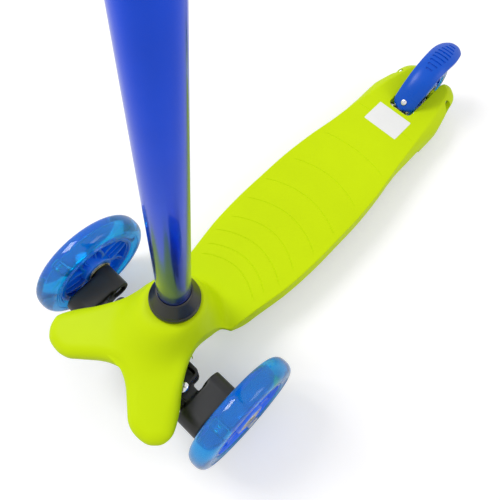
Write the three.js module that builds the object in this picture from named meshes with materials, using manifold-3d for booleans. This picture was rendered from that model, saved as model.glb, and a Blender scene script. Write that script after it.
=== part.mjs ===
// Three wheel kids scooter that steers by leaning.
// Millimetres, +Z up, the rider faces -Y and the rider's left hand is at +X.
// While it is built, y = 0 is the column's axis at the top of the deck's boss and z = 0 is the floor.
import * as THREE from 'three';
import { mergeVertices } from 'three/addons/utils/BufferGeometryUtils.js';
import Module from 'manifold-3d';

const wasm = await Module();
wasm.setup();

// Clearances
const touch_gap = 0.3;
const swing_gap = 1.0;
const cut_overrun = 4;

// Wheels
const front_wheel_diameter = 120;
const front_wheel_width = 22;
const front_camber_deg = 4.5;
const front_rim_diameter = 84;
const rear_wheel_diameter = 76;
const rear_wheel_width = 24;
const rear_rim_diameter = 50;
const front_track = 205.4;
const wheelbase = 443;
const front_axle_lead = 23;
const bearing_diameter = 22;
const bearing_width = 7;
const axle_diameter = 8;
const hub_diameter = 31;
const rim_wall = 4.5;
const web_thickness = 3;
const rib_thickness = 2.6;
const rib_count = 5;
const rib_sweep_deg = 26;
const light_count = 3;
const light_ring_width = 9;
const light_ring_depth = 3.4;
const light_height = 4;
const light_length = 11;
const spacer_wall = 2.6;

// Deck
const deck_width = 116.4;
const deck_thickness = 20.5;
const deck_top = 46.5;
const deck_front = 26;
const deck_rear = 437;
const deck_wall = 3.5;
const deck_skin = 4;
const deck_rib_pitch = 46;
const cheek_drop = 5;
const cheek_length = 85;
const cheek_rear = 451;
const cheek_shoulder = 12;
const cheek_shoulder_middle = 5;
const cheek_pocket_end = 404;
const cheek_boss_diameter = 14;
const axle_recess_diameter = 12.6;
const axle_recess_floor = 32;
const fork_slot_width = 31;
const fork_slot_front = 364.5;
const neck_width = 75;
const ramp_start = -6;
const ramp_end = 28;
const neck_slope_end = 45;
const neck_slope_top = 78;
const finger_well_width = 31;
const finger_well_top = 88;

// Nose and boss
const nose_width = 150;
const tie_rod_room = 5.5;
const nose_tip_height = 84;
const nose_saddle_height = 97;
const nose_lip_bottom = 82.6;
const nose_skirt_bottom = 77;
const boss_height = 116;
const boss_diameter = 48;
const boss_foot_front = 24;
const boss_foot_side = 9;
const boss_foot_rear = 12;
const receiver_diameter = 38;
const receiver_room = 8;
const receiver_floor = 5;
const front_skirt = 17;
const neck_window_margin = 3;
const surface_step = 9;
const hollow_step = 13;

// Steering
const lean_height = 54;
const lean_pin_diameter = 8;
const lean_pin_inset = 3;
const lean_head_height = 2.2;
const lean_head_sink = 1.9;
const pin_wall_thickness = 5;
const pin_wall_half = 13;
const pin_wall_rear = 22;
const pin_wall_back = 30;
const pin_wall_bottom = 42.8;
const cover_thickness = 3;
const beam_bottom = 45;
const beam_top = 71;
const beam_end_margin = 2;
const beam_front_margin = 12;
const beam_rear = 24.5;
const beam_corner = 6;
const beam_notch_margin = 10;
const beam_notch_taper = 2;
const kingpin_setback = 12;
const kingpin_lead = 44;
const kingpin_diameter = 8;
const eye_bottom = 52.3;
const eye_top = 64.7;
const eye_diameter = 18;
const knuckle_width = 25;
const knuckle_room = 3.7;
const barrel_lip = 1;
const barrel_diameter = 22;
const drum_diameter = 32;
const drum_margin = 8;
const drum_height = 54;
const steer_arm = 18;
const steer_arm_width = 9;
const tie_pin_diameter = 5;
const tie_rod_bottom = 60;
const tie_rod_height = 4;
const tie_rod_width = 8;
const tie_rod_eye_margin = 1.4;
const spring_diameter = 11;
const spring_wire = 2;
const spring_curls = 4;
const spring_setback = 2;
const spring_seat_height = 86;
const spring_seat_margin = 2;

// Column and handlebar, lengths along the column from the top of the boss
const column_rake_deg = 4.6;
const column_diameter = 28;
const column_wall = 1.5;
const collar_diameter = 44.6;
const collar_height = 23;
const lower_tube_top = 372;
const upper_tube_wall = 1.5;
const upper_tube_bottom = 230;
const clamp_bottom = 350;
const clamp_height = 28;
const clamp_wall = 4;
const clamp_ear_length = 12;
const clamp_ear_thickness = 5;
const clamp_slit = 3;
const clamp_bolt_diameter = 5;
const clamp_nut_height = 4;
const clamp_bolt_end = 1;
const lever_thickness = 3.2;
const lever_length = 40;
const lever_height = 14;
const bar_level = 510;
const bar_diameter = 22;
const bar_length = 262;
const bar_wall = 1.5;
const tee_wall = 3.4;
const tee_width = 64;
const tee_drop = 26;
const grip_gap = 7;
const grip_diameter = 31;
const grip_flange_diameter = 42;
const grip_flange = 4;
const button_diameter = 8;
const button_foot = 13;
const button_stand = 2;
const button_travel = 7;
const button_shoulder = 3;
const lock_spring_wire = 0.9;
const lock_spring_curls = 4;

// Brake
const fender_width_front = 28.4;
const fender_width_rear = 33;
const fender_wall = 2.4;
const fender_skirt = 8;
const fender_crown = 2.6;
const fender_tip_share = 0.8;
const fender_tip_width_share = 0.25;
const brake_pivot_lead = 47;
const brake_pivot_height = 36;
const brake_pin_diameter = 6;
const bracket_thickness = 1.5;
const bracket_width = 20;
const lug_thickness = 2.5;
const brake_spring_wire = 1.4;
const brake_spring_curls = 4;
const fender_steps = 15;
const brake_screw_share = 0.075;
const bracket_start_share = 0.03;
const bracket_end_share = 0.15;

// Fasteners
const screw_head_diameter = 7;
const screw_diameter = 3;
const screw_length = 9;
const cover_screw_length = 7;
const bolt_head_diameter = 13;
const bolt_head_height = 2.8;
const washer_thickness = 1.4;
const washer_margin = 1;
const nut_height = 7;
const nut_across = 14;
const nut_sink = 5;
const axle_end = 3;
const rear_nut_height = 4;
const rear_head_height = 2.4;

// Faces round a turned piece
const fine_round = 28;
const plain_round = 18;
const small_round = 12;

const deck_half = deck_width / 2;
const deck_bottom = deck_top - deck_thickness;
const cheek_bottom = deck_bottom - cheek_drop;
const front_camber = THREE.MathUtils.degToRad(front_camber_deg);
const front_axle = { y: -front_axle_lead, z: (front_wheel_diameter / 2) * Math.cos(front_camber) };
const rear_axle = { y: wheelbase - front_axle_lead, z: rear_wheel_diameter / 2 };
const column_rake = THREE.MathUtils.degToRad(column_rake_deg);
const column_radius = column_diameter / 2;
const kingpin_y = -kingpin_lead;
const hub_inner_face = (front_track - front_wheel_width) / 2;
const hub_outer_face = hub_inner_face + front_wheel_width;
const knuckle_outer = hub_inner_face - knuckle_room;
const knuckle_inner = knuckle_outer - knuckle_width;
const barrel_inner = knuckle_inner - barrel_lip;
const kingpin_offset = knuckle_inner - kingpin_setback;
const beam_half_width = kingpin_offset + beam_end_margin;
const spring_place_share = 0.46;
const spring_offset = pin_wall_half + (kingpin_offset - pin_wall_half) * spring_place_share;
const notch_share = 0.719;
const pin_wall_front = kingpin_lead + steer_arm + tie_rod_width / 2 + tie_rod_room;
const lean_pin_seat = pin_wall_front - lean_head_sink;
const nose_reach = pin_wall_front / notch_share;
const receiver_depth = boss_height - lean_height - receiver_room;
const button_level = receiver_depth - button_foot;
const beam_front = kingpin_lead + beam_front_margin;
const drum_lead = kingpin_lead + drum_margin;
const spring_lead = kingpin_lead - spring_setback;
const rear_fork_half = rear_wheel_width / 2 + touch_gap;
const brake_pivot = { y: rear_axle.y - brake_pivot_lead, z: brake_pivot_height };
const brake_pin_half = fork_slot_width / 2 + deck_wall * 1.6;
const cover_screw_places = [-pin_wall_front + pin_wall_thickness / 2 + touch_gap, -pin_wall_rear];

// Finishes
const finishes = {
  lime: finish(0xc4e308, 0.5, 0),
  blue_metal: finish(0x15379c, 0.22, 0.75),
  blue_plastic: finish(0x1658c4, 0.4, 0),
  tyre_blue: finish(0x1f8ff0, 0.18, 0),
  core_blue: finish(0x0b2fb0, 0.35, 0),
  black: finish(0x232325, 0.55, 0),
  rubber: finish(0x1b1b1d, 0.85, 0),
  zinc: finish(0xc9c8bf, 0.3, 0.95),
  brass_zinc: finish(0xcbbf8c, 0.3, 0.95),
  chrome: finish(0xdfe2e4, 0.12, 1),
  clear: finish(0xcfe6ff, 0.1, 0),
};

function finish(color, roughness, metalness) {
  return new THREE.MeshStandardMaterial({ color, roughness, metalness });
}

// Solids

function solid_of(geometry) {
  const bare = geometry.clone();
  bare.deleteAttribute('normal');
  bare.deleteAttribute('uv');
  const merged = mergeVertices(bare);
  const corners = merged.index.array;
  const places = merged.attributes.position;
  const kept = [];
  let volume = 0;
  const a = new THREE.Vector3();
  const b = new THREE.Vector3();
  const c = new THREE.Vector3();
  for (let i = 0; i < corners.length; i += 3) {
    const [p, q, r] = [corners[i], corners[i + 1], corners[i + 2]];
    if (p === q || q === r || r === p) continue;
    kept.push(p, q, r);
    a.fromBufferAttribute(places, p);
    b.fromBufferAttribute(places, q);
    c.fromBufferAttribute(places, r);
    volume += a.dot(b.cross(c));
  }
  if (volume < 0) kept.reverse();
  const mesh = new wasm.Mesh({
    numProp: 3,
    vertProperties: new Float32Array(places.array),
    triVerts: new Uint32Array(kept),
  });
  return new wasm.Manifold(mesh);
}

function geometry_of(solid) {
  const mesh = solid.getMesh();
  const geometry = new THREE.BufferGeometry();
  geometry.setAttribute('position', new THREE.BufferAttribute(new Float32Array(mesh.vertProperties), 3));
  geometry.setIndex(new THREE.BufferAttribute(new Uint32Array(mesh.triVerts), 1));
  geometry.computeVertexNormals();
  return geometry;
}

function joined(...solids) {
  return solids.reduce((whole, next) => whole.add(next));
}

function cut(solid, ...tools) {
  return tools.reduce((whole, tool) => whole.subtract(tool), solid);
}

// A box between two corners
function block(low, high) {
  const [x0, y0, z0] = low;
  const [x1, y1, z1] = high;
  const geometry = new THREE.BoxGeometry(x1 - x0, y1 - y0, z1 - z0);
  geometry.translate((x0 + x1) / 2, (y0 + y1) / 2, (z0 + z1) / 2);
  return solid_of(geometry);
}

// A solid turned about Z from [radius, height] points that start and end on the axis or close
function turned(profile, around) {
  const points = profile.map(([radius, height]) => new THREE.Vector2(radius, height));
  const geometry = new THREE.LatheGeometry(points, around);
  geometry.rotateX(Math.PI / 2);
  return solid_of(geometry);
}

function rod(radius, bottom, top, around) {
  return turned([[0, bottom], [radius, bottom], [radius, top], [0, top]], around);
}

function ring(inner, outer, bottom, top, around) {
  const profile = [[inner, bottom], [outer, bottom], [outer, top], [inner, top], [inner, bottom]];
  return turned(profile, around);
}

// Turn a solid that stands along Z so that it lies along +X
function along_x(solid) {
  return solid.rotate([0, 90, 0]);
}

// Turn a solid that stands along Z so that it lies along +Y
function along_y(solid) {
  return solid.rotate([-90, 0, 0]);
}

// An outline in X and Y with its thickness along Z
function prism(outline, bottom, top) {
  const shape = new THREE.Shape(outline.map(([x, y]) => new THREE.Vector2(x, y)));
  const geometry = new THREE.ExtrudeGeometry(shape, { depth: top - bottom, bevelEnabled: false });
  geometry.translate(0, 0, bottom);
  return solid_of(geometry);
}

// An outline in Y and Z with its thickness along X
function side_prism(outline, left, right) {
  const turned_outline = prism(outline, left, right);
  return turned_outline.rotate([90, 0, 90]);
}

// A closed skin over rings that hold as many points each
function lofted(rings) {
  const count = rings[0].length;
  const places = rings.flat();
  const corners = [];
  for (let k = 0; k + 1 < rings.length; k += 1) {
    for (let i = 0; i < count; i += 1) {
      const here = k * count + i;
      const next = k * count + ((i + 1) % count);
      corners.push(here, next, next + count, here, next + count, here + count);
    }
  }
  const last = (rings.length - 1) * count;
  const flat = rings[0].map((point) => new THREE.Vector2(point.u, point.v));
  const lids = THREE.ShapeUtils.triangulateShape(flat, []);
  for (const [p, q, r] of lids) corners.push(r, q, p, last + p, last + q, last + r);
  const geometry = new THREE.BufferGeometry();
  const numbers = places.flatMap((point) => [point.x, point.y, point.z]);
  geometry.setAttribute('position', new THREE.Float32BufferAttribute(numbers, 3));
  geometry.setIndex(corners);
  return solid_of(geometry);
}

// Wound wire along Z: 8 steps a curl and 5 sides, with straight ends one wire long
const curl_steps = 8;
const wire_sides = 5;

function coil_points(radius, wire, bottom, top, curls) {
  const rise = top - bottom - wire;
  const steps = curl_steps * curls;
  const points = [];
  for (let i = 0; i <= steps; i += 1) {
    const turn = (i / curl_steps) * 2 * Math.PI;
    const level = bottom + wire / 2 + (rise * i) / steps;
    points.push(new THREE.Vector3(radius * Math.cos(turn), radius * Math.sin(turn), level));
  }
  points.unshift(new THREE.Vector3(radius, -wire, points[0].z));
  points.push(new THREE.Vector3(radius, wire, points[points.length - 1].z));
  return points;
}

function least_gap(points, wire) {
  let least = Infinity;
  for (let i = 0; i < points.length; i += 1) {
    for (let k = i + curl_steps / 2; k < points.length; k += 1) {
      least = Math.min(least, points[i].distanceTo(points[k]) - wire);
    }
  }
  return least;
}

function coil(name, radius, wire, bottom, top, curls) {
  const points = coil_points(radius, wire, bottom, top, curls);
  console.log(`${name}: least gap between curls ${least_gap(points, wire).toFixed(2)} mm`);
  const up = new THREE.Vector3(0, 0, 1);
  const rings = points.map((point, i) => {
    const before = points[Math.max(i - 1, 0)];
    const after = points[Math.min(i + 1, points.length - 1)];
    const ahead = after.clone().sub(before).normalize();
    const out = new THREE.Vector3().crossVectors(ahead, up).normalize();
    const side = new THREE.Vector3().crossVectors(out, ahead);
    return Array.from({ length: wire_sides }, (_, s) => {
      const angle = (s / wire_sides) * 2 * Math.PI;
      const [u, v] = [(Math.cos(angle) * wire) / 2, (Math.sin(angle) * wire) / 2];
      const place = point.clone().addScaledVector(out, u).addScaledVector(side, v);
      return { x: place.x, y: place.y, z: place.z, u, v };
    });
  });
  return lofted(rings);
}

// Bolts stand along Z with the head's seat at the given level
function hex_head(diameter, seat, height) {
  return turned([[0, seat], [diameter / 2, seat], [diameter / 2, seat + height], [0, seat + height]], 6);
}

function bolt(shank_diameter, end, seat, head_diameter, head_height) {
  const shank = rod(shank_diameter / 2, end, seat + head_height / 2, small_round);
  return joined(shank, hex_head(head_diameter, seat, head_height));
}

function pan_screw(diameter, end, seat, head_diameter, head_height) {
  const head_radius = head_diameter / 2;
  const profile = [
    [0, end],
    [diameter / 2, end],
    [diameter / 2, seat],
    [head_radius, seat],
    [head_radius, seat + head_height / 2],
    [head_radius * 0.7, seat + head_height],
    [0, seat + head_height],
  ];
  return turned(profile, small_round);
}

function nut(hole_diameter, bottom, height, across) {
  const hole = rod(hole_diameter / 2, bottom - cut_overrun, bottom + height + cut_overrun, small_round);
  return cut(hex_head(across, bottom, height), hole);
}

// The scooter

const scooter = new THREE.Group();
const column = new THREE.Group();
column.position.set(0, 0, boss_height);
column.rotation.x = -column_rake;
scooter.add(column);

function add(name, solid, material, parent = scooter) {
  const mesh = new THREE.Mesh(geometry_of(solid), material.clone());
  mesh.name = name;
  parent.add(mesh);
  return mesh;
}

// Move a solid from the column's frame to the scooter's
function from_column(solid) {
  return solid.rotate([-column_rake_deg, 0, 0]).translate([0, 0, boss_height]);
}

function both_sides(points) {
  const other = points.map(([x, y]) => [-x, y]).reverse();
  return [...points, ...other];
}

// Deck outline: shares of the half width by shares of the way from front to rear
const deck_outline_shares = [
  [0, 0.739],
  [0.078, 0.821],
  [0.176, 0.938],
  [0.274, 0.991],
  [0.372, 1],
  [0.469, 0.995],
  [0.567, 0.942],
  [0.665, 0.852],
  [0.764, 0.775],
  [0.861, 0.675],
  [0.939, 0.564],
  [0.985, 0.481],
  [1, 0.4],
];

// Cheeks beside the rear wheel, from front to rear. First the top edge: shares of the deck's length and
// half width. Then the foot that swells out below it: shares of the way to the cheek's rear and of the
// half width
const cheek_outline_shares = [
  [0.667, 0.852, 0.645, 0.864],
  [0.764, 0.775, 0.753, 0.859],
  [0.815, 0.737, 0.809, 0.875],
  [0.861, 0.675, 0.852, 0.859],
  [0.91, 0.601, 0.899, 0.77],
  [0.939, 0.564, 0.936, 0.713],
  [0.968, 0.507, 0.962, 0.67],
  [0.985, 0.481, 0.981, 0.601],
  [0.997, 0.438, 0.995, 0.507],
  [1, 0.344, 1, 0.378],
];

// Nose outline from the notch round the lobe to the neck: shares of the half width and of the reach
const nose_outline_shares = [
  [0.12, 0.746],
  [0.227, 0.792],
  [0.333, 0.855],
  [0.44, 0.922],
  [0.52, 0.969],
  [0.627, 0.998],
  [0.747, 1],
  [0.853, 0.982],
  [0.933, 0.936],
  [0.98, 0.888],
  [1, 0.825],
  [0.993, 0.775],
  [0.933, 0.684],
  [0.853, 0.594],
  [0.76, 0.503],
  [0.653, 0.382],
  [0.564, 0.262],
  [0.509, 0.131],
];

// Neck outline: shares of its half width by shares of the way from the boss's axis to the deck's front
const neck_outline_shares = [
  [-0.1, 0.99],
  [0.2, 0.98],
  [0.5, 0.96],
  [0.77, 0.975],
];

function deck_outline(inset) {
  const length = deck_rear - deck_front;
  const nose_half = nose_width / 2;
  const points = [[0, -nose_reach * notch_share]];
  for (const [across, ahead] of nose_outline_shares) points.push([across * nose_half, -ahead * nose_reach]);
  for (const [along, across] of neck_outline_shares) {
    points.push([across * neck_width / 2, along * deck_front]);
  }
  for (const [along, across] of deck_outline_shares) {
    points.push([across * deck_half, deck_front + along * length]);
  }
  return both_sides(inset > 0 ? inset_outline(points, inset) : points);
}

// Move each point of the half outline inwards, square to its neighbours
function inset_outline(points, inset) {
  return points.map(([x, y], i) => {
    const [x0, y0] = points[Math.max(i - 1, 0)];
    const [x1, y1] = i + 1 < points.length ? points[i + 1] : [0, y];
    const run = Math.hypot(x1 - x0, y1 - y0);
    const moved = x - ((y1 - y0) / run) * inset;
    return [i === 0 ? 0 : Math.max(moved, touch_gap), y + ((x1 - x0) / run) * inset];
  });
}

function smooth(from, to, value) {
  const share = Math.min(Math.max((value - from) / (to - from), 0), 1);
  return share * share * (3 - 2 * share);
}

// Height of the deck's top surface: flat deck, ramp, boss and the two drooping lobes
function surface_height(x, y) {
  const fall = Math.hypot(x, y + boss_diameter / 2) / nose_reach;
  const front = nose_tip_height + (nose_saddle_height - nose_tip_height) * Math.max(0, 1 - fall);
  const low = front + (deck_top - front) * smooth(ramp_start, ramp_end, y);
  const reach = Math.hypot(x, y);
  const ahead = reach > 0 ? -y / reach : 0;
  const foot_end = ahead > 0 ? boss_foot_front : boss_foot_rear;
  const foot = boss_foot_side + (foot_end - boss_foot_side) * ahead * ahead;
  const beyond = Math.max(0, reach - boss_diameter / 2) / foot;
  const boss_top = boss_height - y * Math.tan(column_rake);
  return low + (boss_top - low) * Math.exp(-beyond * beyond);
}

// A block under the deck's surface, lowered by a depth, on a grid that is fine at the nose only
function under_surface(depth, step, bottom) {
  const side = nose_width / 2 + cut_overrun;
  const columns = 2 * Math.ceil(side / step);
  const xs = Array.from({ length: columns + 1 }, (_, i) => side * ((2 * i) / columns - 1));
  const start = -nose_reach - cut_overrun;
  const foot_end = 2 * ramp_end;
  const rows = Math.ceil((foot_end - start) / step);
  const ys = Array.from({ length: rows + 1 }, (_, i) => start + ((foot_end - start) * i) / rows);
  ys.push(deck_rear + cut_overrun);
  const places = [];
  const corners = [];
  const wide = xs.length;
  const top_count = wide * ys.length;
  for (const y of ys) {
    for (const x of xs) places.push(x, y, (y > foot_end ? deck_top : surface_height(x, y)) - depth);
  }
  for (const y of ys) {
    for (const x of xs) places.push(x, y, bottom);
  }
  for (let j = 0; j + 1 < ys.length; j += 1) {
    for (let i = 0; i + 1 < wide; i += 1) {
      const p = j * wide + i;
      const q = p + wide;
      corners.push(p, p + 1, q + 1, p, q + 1, q);
      const [a, b] = [p + top_count, q + top_count];
      corners.push(a, b + 1, a + 1, a, b, b + 1);
    }
  }
  const edge = [];
  for (let i = 0; i < wide; i += 1) edge.push(i);
  for (let j = 1; j < ys.length; j += 1) edge.push(j * wide + wide - 1);
  for (let i = wide - 2; i >= 0; i -= 1) edge.push((ys.length - 1) * wide + i);
  for (let j = ys.length - 2; j > 0; j -= 1) edge.push(j * wide);
  edge.forEach((here, k) => {
    const next = edge[(k + 1) % edge.length];
    corners.push(here, here + top_count, next + top_count, here, next + top_count, next);
  });
  const geometry = new THREE.BufferGeometry();
  geometry.setAttribute('position', new THREE.Float32BufferAttribute(places, 3));
  geometry.setIndex(corners);
  return solid_of(geometry);
}

// What lies under the nose: skirts trimmed so that the steering can swing
function nose_underside() {
  const far = nose_width;
  const low = cheek_bottom - cut_overrun;
  const ahead = -nose_reach - cut_overrun;
  const behind_front_skirt = front_skirt - nose_reach;
  const window_inner = neck_width / 2 - neck_window_margin;
  const window_rear = -deck_front / 2;
  const slope = [[neck_slope_end, deck_bottom], [window_rear, neck_slope_top], [window_rear, low],
    [neck_slope_end, low]];
  const tools = [side_prism(slope, -far, far), block([-far, ahead, low], [far, window_rear, beam_bottom])];
  for (const side of [-1, 1]) {
    const [x0, x1] = [side * window_inner, side * far].sort((p, q) => p - q);
    tools.push(block([x0, behind_front_skirt, low], [x1, window_rear, nose_lip_bottom]));
    const [x2, x3] = [side * pin_wall_half * 1.3, side * far].sort((p, q) => p - q);
    tools.push(block([x2, ahead, low], [x3, behind_front_skirt, nose_skirt_bottom]));
  }
  return joined(...tools);
}

// Open pockets under the platform between its cross ribs and its spine
function deck_pockets() {
  const inner = prism(deck_outline(deck_wall), deck_bottom - cut_overrun, deck_top - deck_skin);
  const first = deck_front + deck_rib_pitch / 2;
  const last = fork_slot_front - deck_wall * 2;
  const count = Math.round((last - first) / deck_rib_pitch);
  const pitch = (last - first) / count;
  const boxes = [];
  for (let k = 0; k < count; k += 1) {
    for (const side of [-1, 1]) {
      const edges = [side * (deck_wall / 2), side * deck_width].sort((p, q) => p - q);
      const start = first + k * pitch;
      const low = [edges[0], start, deck_bottom - 2 * cut_overrun];
      boxes.push(block(low, [edges[1], start + pitch - deck_wall, deck_top]));
    }
  }
  return joined(...boxes).intersect(inner);
}

function make_deck() {
  const whole = prism(deck_outline(0), cheek_bottom, boss_height + boss_diameter);
  let body = whole.intersect(under_surface(0, surface_step, cheek_bottom - cut_overrun));
  body = joined(body, make_cheek(), make_cheek().mirror([1, 0, 0]));
  const cheek_front = deck_rear - cheek_length;
  body = cut(body, block([-deck_width, -nose_reach * 2, 0], [deck_width, cheek_front, deck_bottom]));

  // Hollow nose and neck, with a well behind the receiver for the finger that presses the lock button
  const hollow_outline = prism(deck_outline(deck_wall), 0, boss_height + boss_diameter);
  const hollow_end = deck_front * 0.3;
  const hollow_top = under_surface(deck_wall * 1.8, hollow_step, -cut_overrun);
  const hollow = hollow_outline.intersect(hollow_top)
    .intersect(block([-nose_width, -nose_reach * 2, 0], [nose_width, hollow_end, boss_height * 2]));
  const well_half = finger_well_width / 2;
  const finger_well = block([-well_half, 0, 0], [well_half, deck_front, finger_well_top]);
  body = cut(body, hollow, finger_well, nose_underside());

  // Receiver of the column, the walls that hold the lean pin, and the seats of the springs
  const receiver_low = -receiver_depth - touch_gap - receiver_floor;
  const receiver = from_column(rod(receiver_diameter / 2, receiver_low, -deck_wall, plain_round));
  const boss = from_column(rod(boss_diameter / 2, -deck_wall * 4, 0, fine_round));
  const roof = under_surface(deck_wall / 2, hollow_step, 0);
  const front_low = [-pin_wall_half, -pin_wall_front + touch_gap, pin_wall_bottom];
  const front_high = [pin_wall_half, -pin_wall_front + pin_wall_thickness, boss_height];
  const rear_low = [-pin_wall_half, -pin_wall_back, pin_wall_bottom];
  const rear_high = [pin_wall_half, -pin_wall_rear + pin_wall_thickness, boss_height];
  const seat_radius = spring_diameter / 2 + spring_seat_margin;
  const seats = [-1, 1].map((side) => rod(seat_radius, spring_seat_height, boss_height, small_round)
    .translate([side * spring_offset, -spring_lead, 0]));
  const fittings = joined(block(front_low, front_high), block(rear_low, rear_high), ...seats);
  body = joined(body, fittings.intersect(roof), receiver, boss);

  // Wheel slot, pockets and the bosses that hold the rear axle
  body = cut(body, fork_slot_tool(), deck_pockets());
  for (const side of [-1, 1]) {
    const [pocket_left, pocket_right] = [side * (fork_slot_width / 2 + deck_wall), side * axle_recess_floor]
      .sort((p, q) => p - q);
    body = cut(body, block([pocket_left, fork_slot_front, cheek_bottom - cut_overrun],
      [pocket_right, cheek_pocket_end, deck_top - deck_skin]));
    const [x0, x1] = [side * rear_fork_half, side * (fork_slot_width / 2 + deck_wall)].sort((p, q) => p - q);
    const cheek_boss = along_x(rod(cheek_boss_diameter / 2, x0, x1, small_round));
    body = joined(body, cheek_boss.translate([0, rear_axle.y, rear_axle.z]));
  }

  // Bores
  const bore_end = -receiver_depth - touch_gap;
  const bore = from_column(rod(column_radius + touch_gap, bore_end, cut_overrun, plain_round));
  const button_radius = button_diameter / 2 + touch_gap;
  const button_hole = from_column(along_y(rod(button_radius, 0, receiver_diameter, small_round))
    .translate([0, 0, -button_level]));
  const button_room = button_hole.intersect(hollow_outline);
  const axle_reach = deck_width / 2;
  const axle_bore = along_x(rod(axle_diameter / 2 + touch_gap, -axle_reach, axle_reach, small_round));
  const recess = (side) => along_x(rod(axle_recess_diameter / 2, axle_recess_floor, axle_reach, small_round))
    .rotate([0, 0, side > 0 ? 0 : 180]);
  const rear_bores = joined(axle_bore, recess(1), recess(-1)).translate([0, rear_axle.y, rear_axle.z]);
  const pin_radius = lean_pin_diameter / 2 + touch_gap;
  const pin_bore = along_y(rod(pin_radius, -nose_reach, -pin_wall_rear - touch_gap, small_round))
    .translate([0, 0, lean_height]);
  const head_radius = bolt_head_diameter / 2 + swing_gap;
  const head_room = along_y(rod(head_radius, -nose_reach, touch_gap - lean_pin_seat, small_round))
    .translate([0, 0, lean_height]);
  const brake_radius = brake_pin_diameter / 2 + touch_gap;
  const brake_end = brake_pin_half + touch_gap;
  const brake_bore = along_x(rod(brake_radius, -brake_end, brake_end, small_round))
    .translate([0, brake_pivot.y, brake_pivot.z]);
  const hole_top = pin_wall_bottom + cover_screw_length - cover_thickness;
  const cover_holes = cover_screw_places.map((y) => rod(screw_diameter / 2 + touch_gap, 0, hole_top,
    small_round).translate([0, y, 0]));
  const spring_rooms = [-1, 1].map((side) => rod(spring_diameter / 2 + swing_gap, beam_top, spring_seat_height,
    small_round).translate([side * spring_offset, -spring_lead, 0]));
  return cut(body, bore, button_room, rear_bores, pin_bore, head_room, brake_bore, ...cover_holes, ...spring_rooms);
}

// One cheek: the foot's outline swells out below the deck's top edge. Its inner side lies in the slot
function make_cheek() {
  const inner = (fork_slot_width / 2) * 0.8;
  const level_ring = (level, foot_share) => {
    const points = cheek_outline_shares.map(([top_along, top_across, foot_along, foot_across]) => {
      const top_y = deck_front + top_along * (deck_rear - deck_front);
      const foot_y = deck_front + foot_along * (cheek_rear - deck_front);
      const across = top_across + (foot_across - top_across) * foot_share;
      return [across * deck_half, top_y + (foot_y - top_y) * foot_share];
    });
    const outline = [...points, [inner, points[points.length - 1][1]], [inner, points[0][1]]];
    return outline.map(([x, y]) => ({ x, y, z: level, u: x, v: y }));
  };
  return lofted([
    level_ring(cheek_bottom, 1),
    level_ring(deck_top - cheek_shoulder, 1),
    level_ring(deck_top - cheek_shoulder_middle, 0.6),
    level_ring(deck_top, 0),
  ]);
}

// The slot that the rear wheel and the fender stand in, round at its front
function fork_slot_tool() {
  const half = fork_slot_width / 2;
  const corner = half * 0.6;
  const low = cheek_bottom - cut_overrun;
  const high = deck_top + cut_overrun;
  const outline = [];
  const corner_steps = 4;
  for (let i = 0; i <= corner_steps; i += 1) {
    const angle = (i / corner_steps) * (Math.PI / 2);
    const x = half - corner + corner * Math.sin(angle);
    outline.push([x, fork_slot_front + corner - corner * Math.cos(angle)]);
  }
  outline.push([half, deck_rear + deck_width]);
  return prism(both_sides(outline), low, high);
}

add('deck', make_deck(), finishes.lime);

// Cover strip under the lean pin
function make_cover() {
  const top = pin_wall_bottom - touch_gap;
  const low = [-pin_wall_half, -pin_wall_front + touch_gap, top - cover_thickness];
  const plate = block(low, [pin_wall_half, -pin_wall_rear + pin_wall_thickness, top]);
  const holes = cover_screw_places.map((y) => rod(screw_diameter / 2 + touch_gap, 0, deck_top, small_round)
    .translate([0, y, 0]));
  return cut(plate, ...holes);
}

add('nose_cover', make_cover(), finishes.black);
['cover_screw_front', 'cover_screw_rear'].forEach((name, k) => {
  const seat = pin_wall_bottom - touch_gap - cover_thickness - touch_gap;
  const screw = pan_screw(screw_diameter, -cover_screw_length, 0, screw_head_diameter, screw_diameter * 0.8)
    .rotate([180, 0, 0])
    .translate([0, cover_screw_places[k], seat]);
  add(name, screw, finishes.zinc);
});

// Wheels lie along X about their own middle

function tyre_profile(radius, width, rim_radius, groove_half, groove_depth) {
  const half = width / 2;
  const inner = rim_radius + touch_gap;
  const shoulder = rim_radius + (radius - rim_radius) * 0.45;
  const lip = half * 0.9;
  const crown_steps = 4;
  const side = [[inner, lip], [rim_radius + (shoulder - rim_radius) * 0.3, half]];
  for (let i = 0; i <= crown_steps; i += 1) {
    const angle = (i / crown_steps) * (Math.PI / 2);
    const rise = Math.sin(angle) ** 0.9;
    const across = Math.cos(angle) ** 0.8;
    side.push([shoulder + (radius - shoulder) * rise, half * (i === crown_steps ? 0 : across)]);
  }
  const other = side.slice(0, -1).map(([r, x]) => [r, -x]).reverse();
  const groove = groove_half > 0
    ? [[inner, -groove_half], [inner + groove_depth, -groove_half], [inner + groove_depth, groove_half],
      [inner, groove_half]]
    : [];
  return [...side, ...other, ...groove, side[0]];
}

function core_profile(rim_radius, width) {
  const half = width / 2;
  const rim_half = half * 0.87;
  const hub_radius = hub_diameter / 2;
  const seat = bearing_diameter / 2 + touch_gap;
  const shoulder = half - bearing_width - touch_gap;
  const throat = seat * 0.8;
  const rim_inner = rim_radius - rim_wall;
  const web = web_thickness / 2;
  const one_side = [
    [throat, shoulder],
    [seat, shoulder],
    [seat, half - touch_gap],
    [hub_radius, half - touch_gap],
    [hub_radius, web],
    [rim_inner, web],
    [rim_inner, rim_half],
    [rim_radius, rim_half],
  ];
  const other = one_side.map(([r, x]) => [r, -x]).reverse();
  return [...one_side, ...other, one_side[0]];
}

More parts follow.
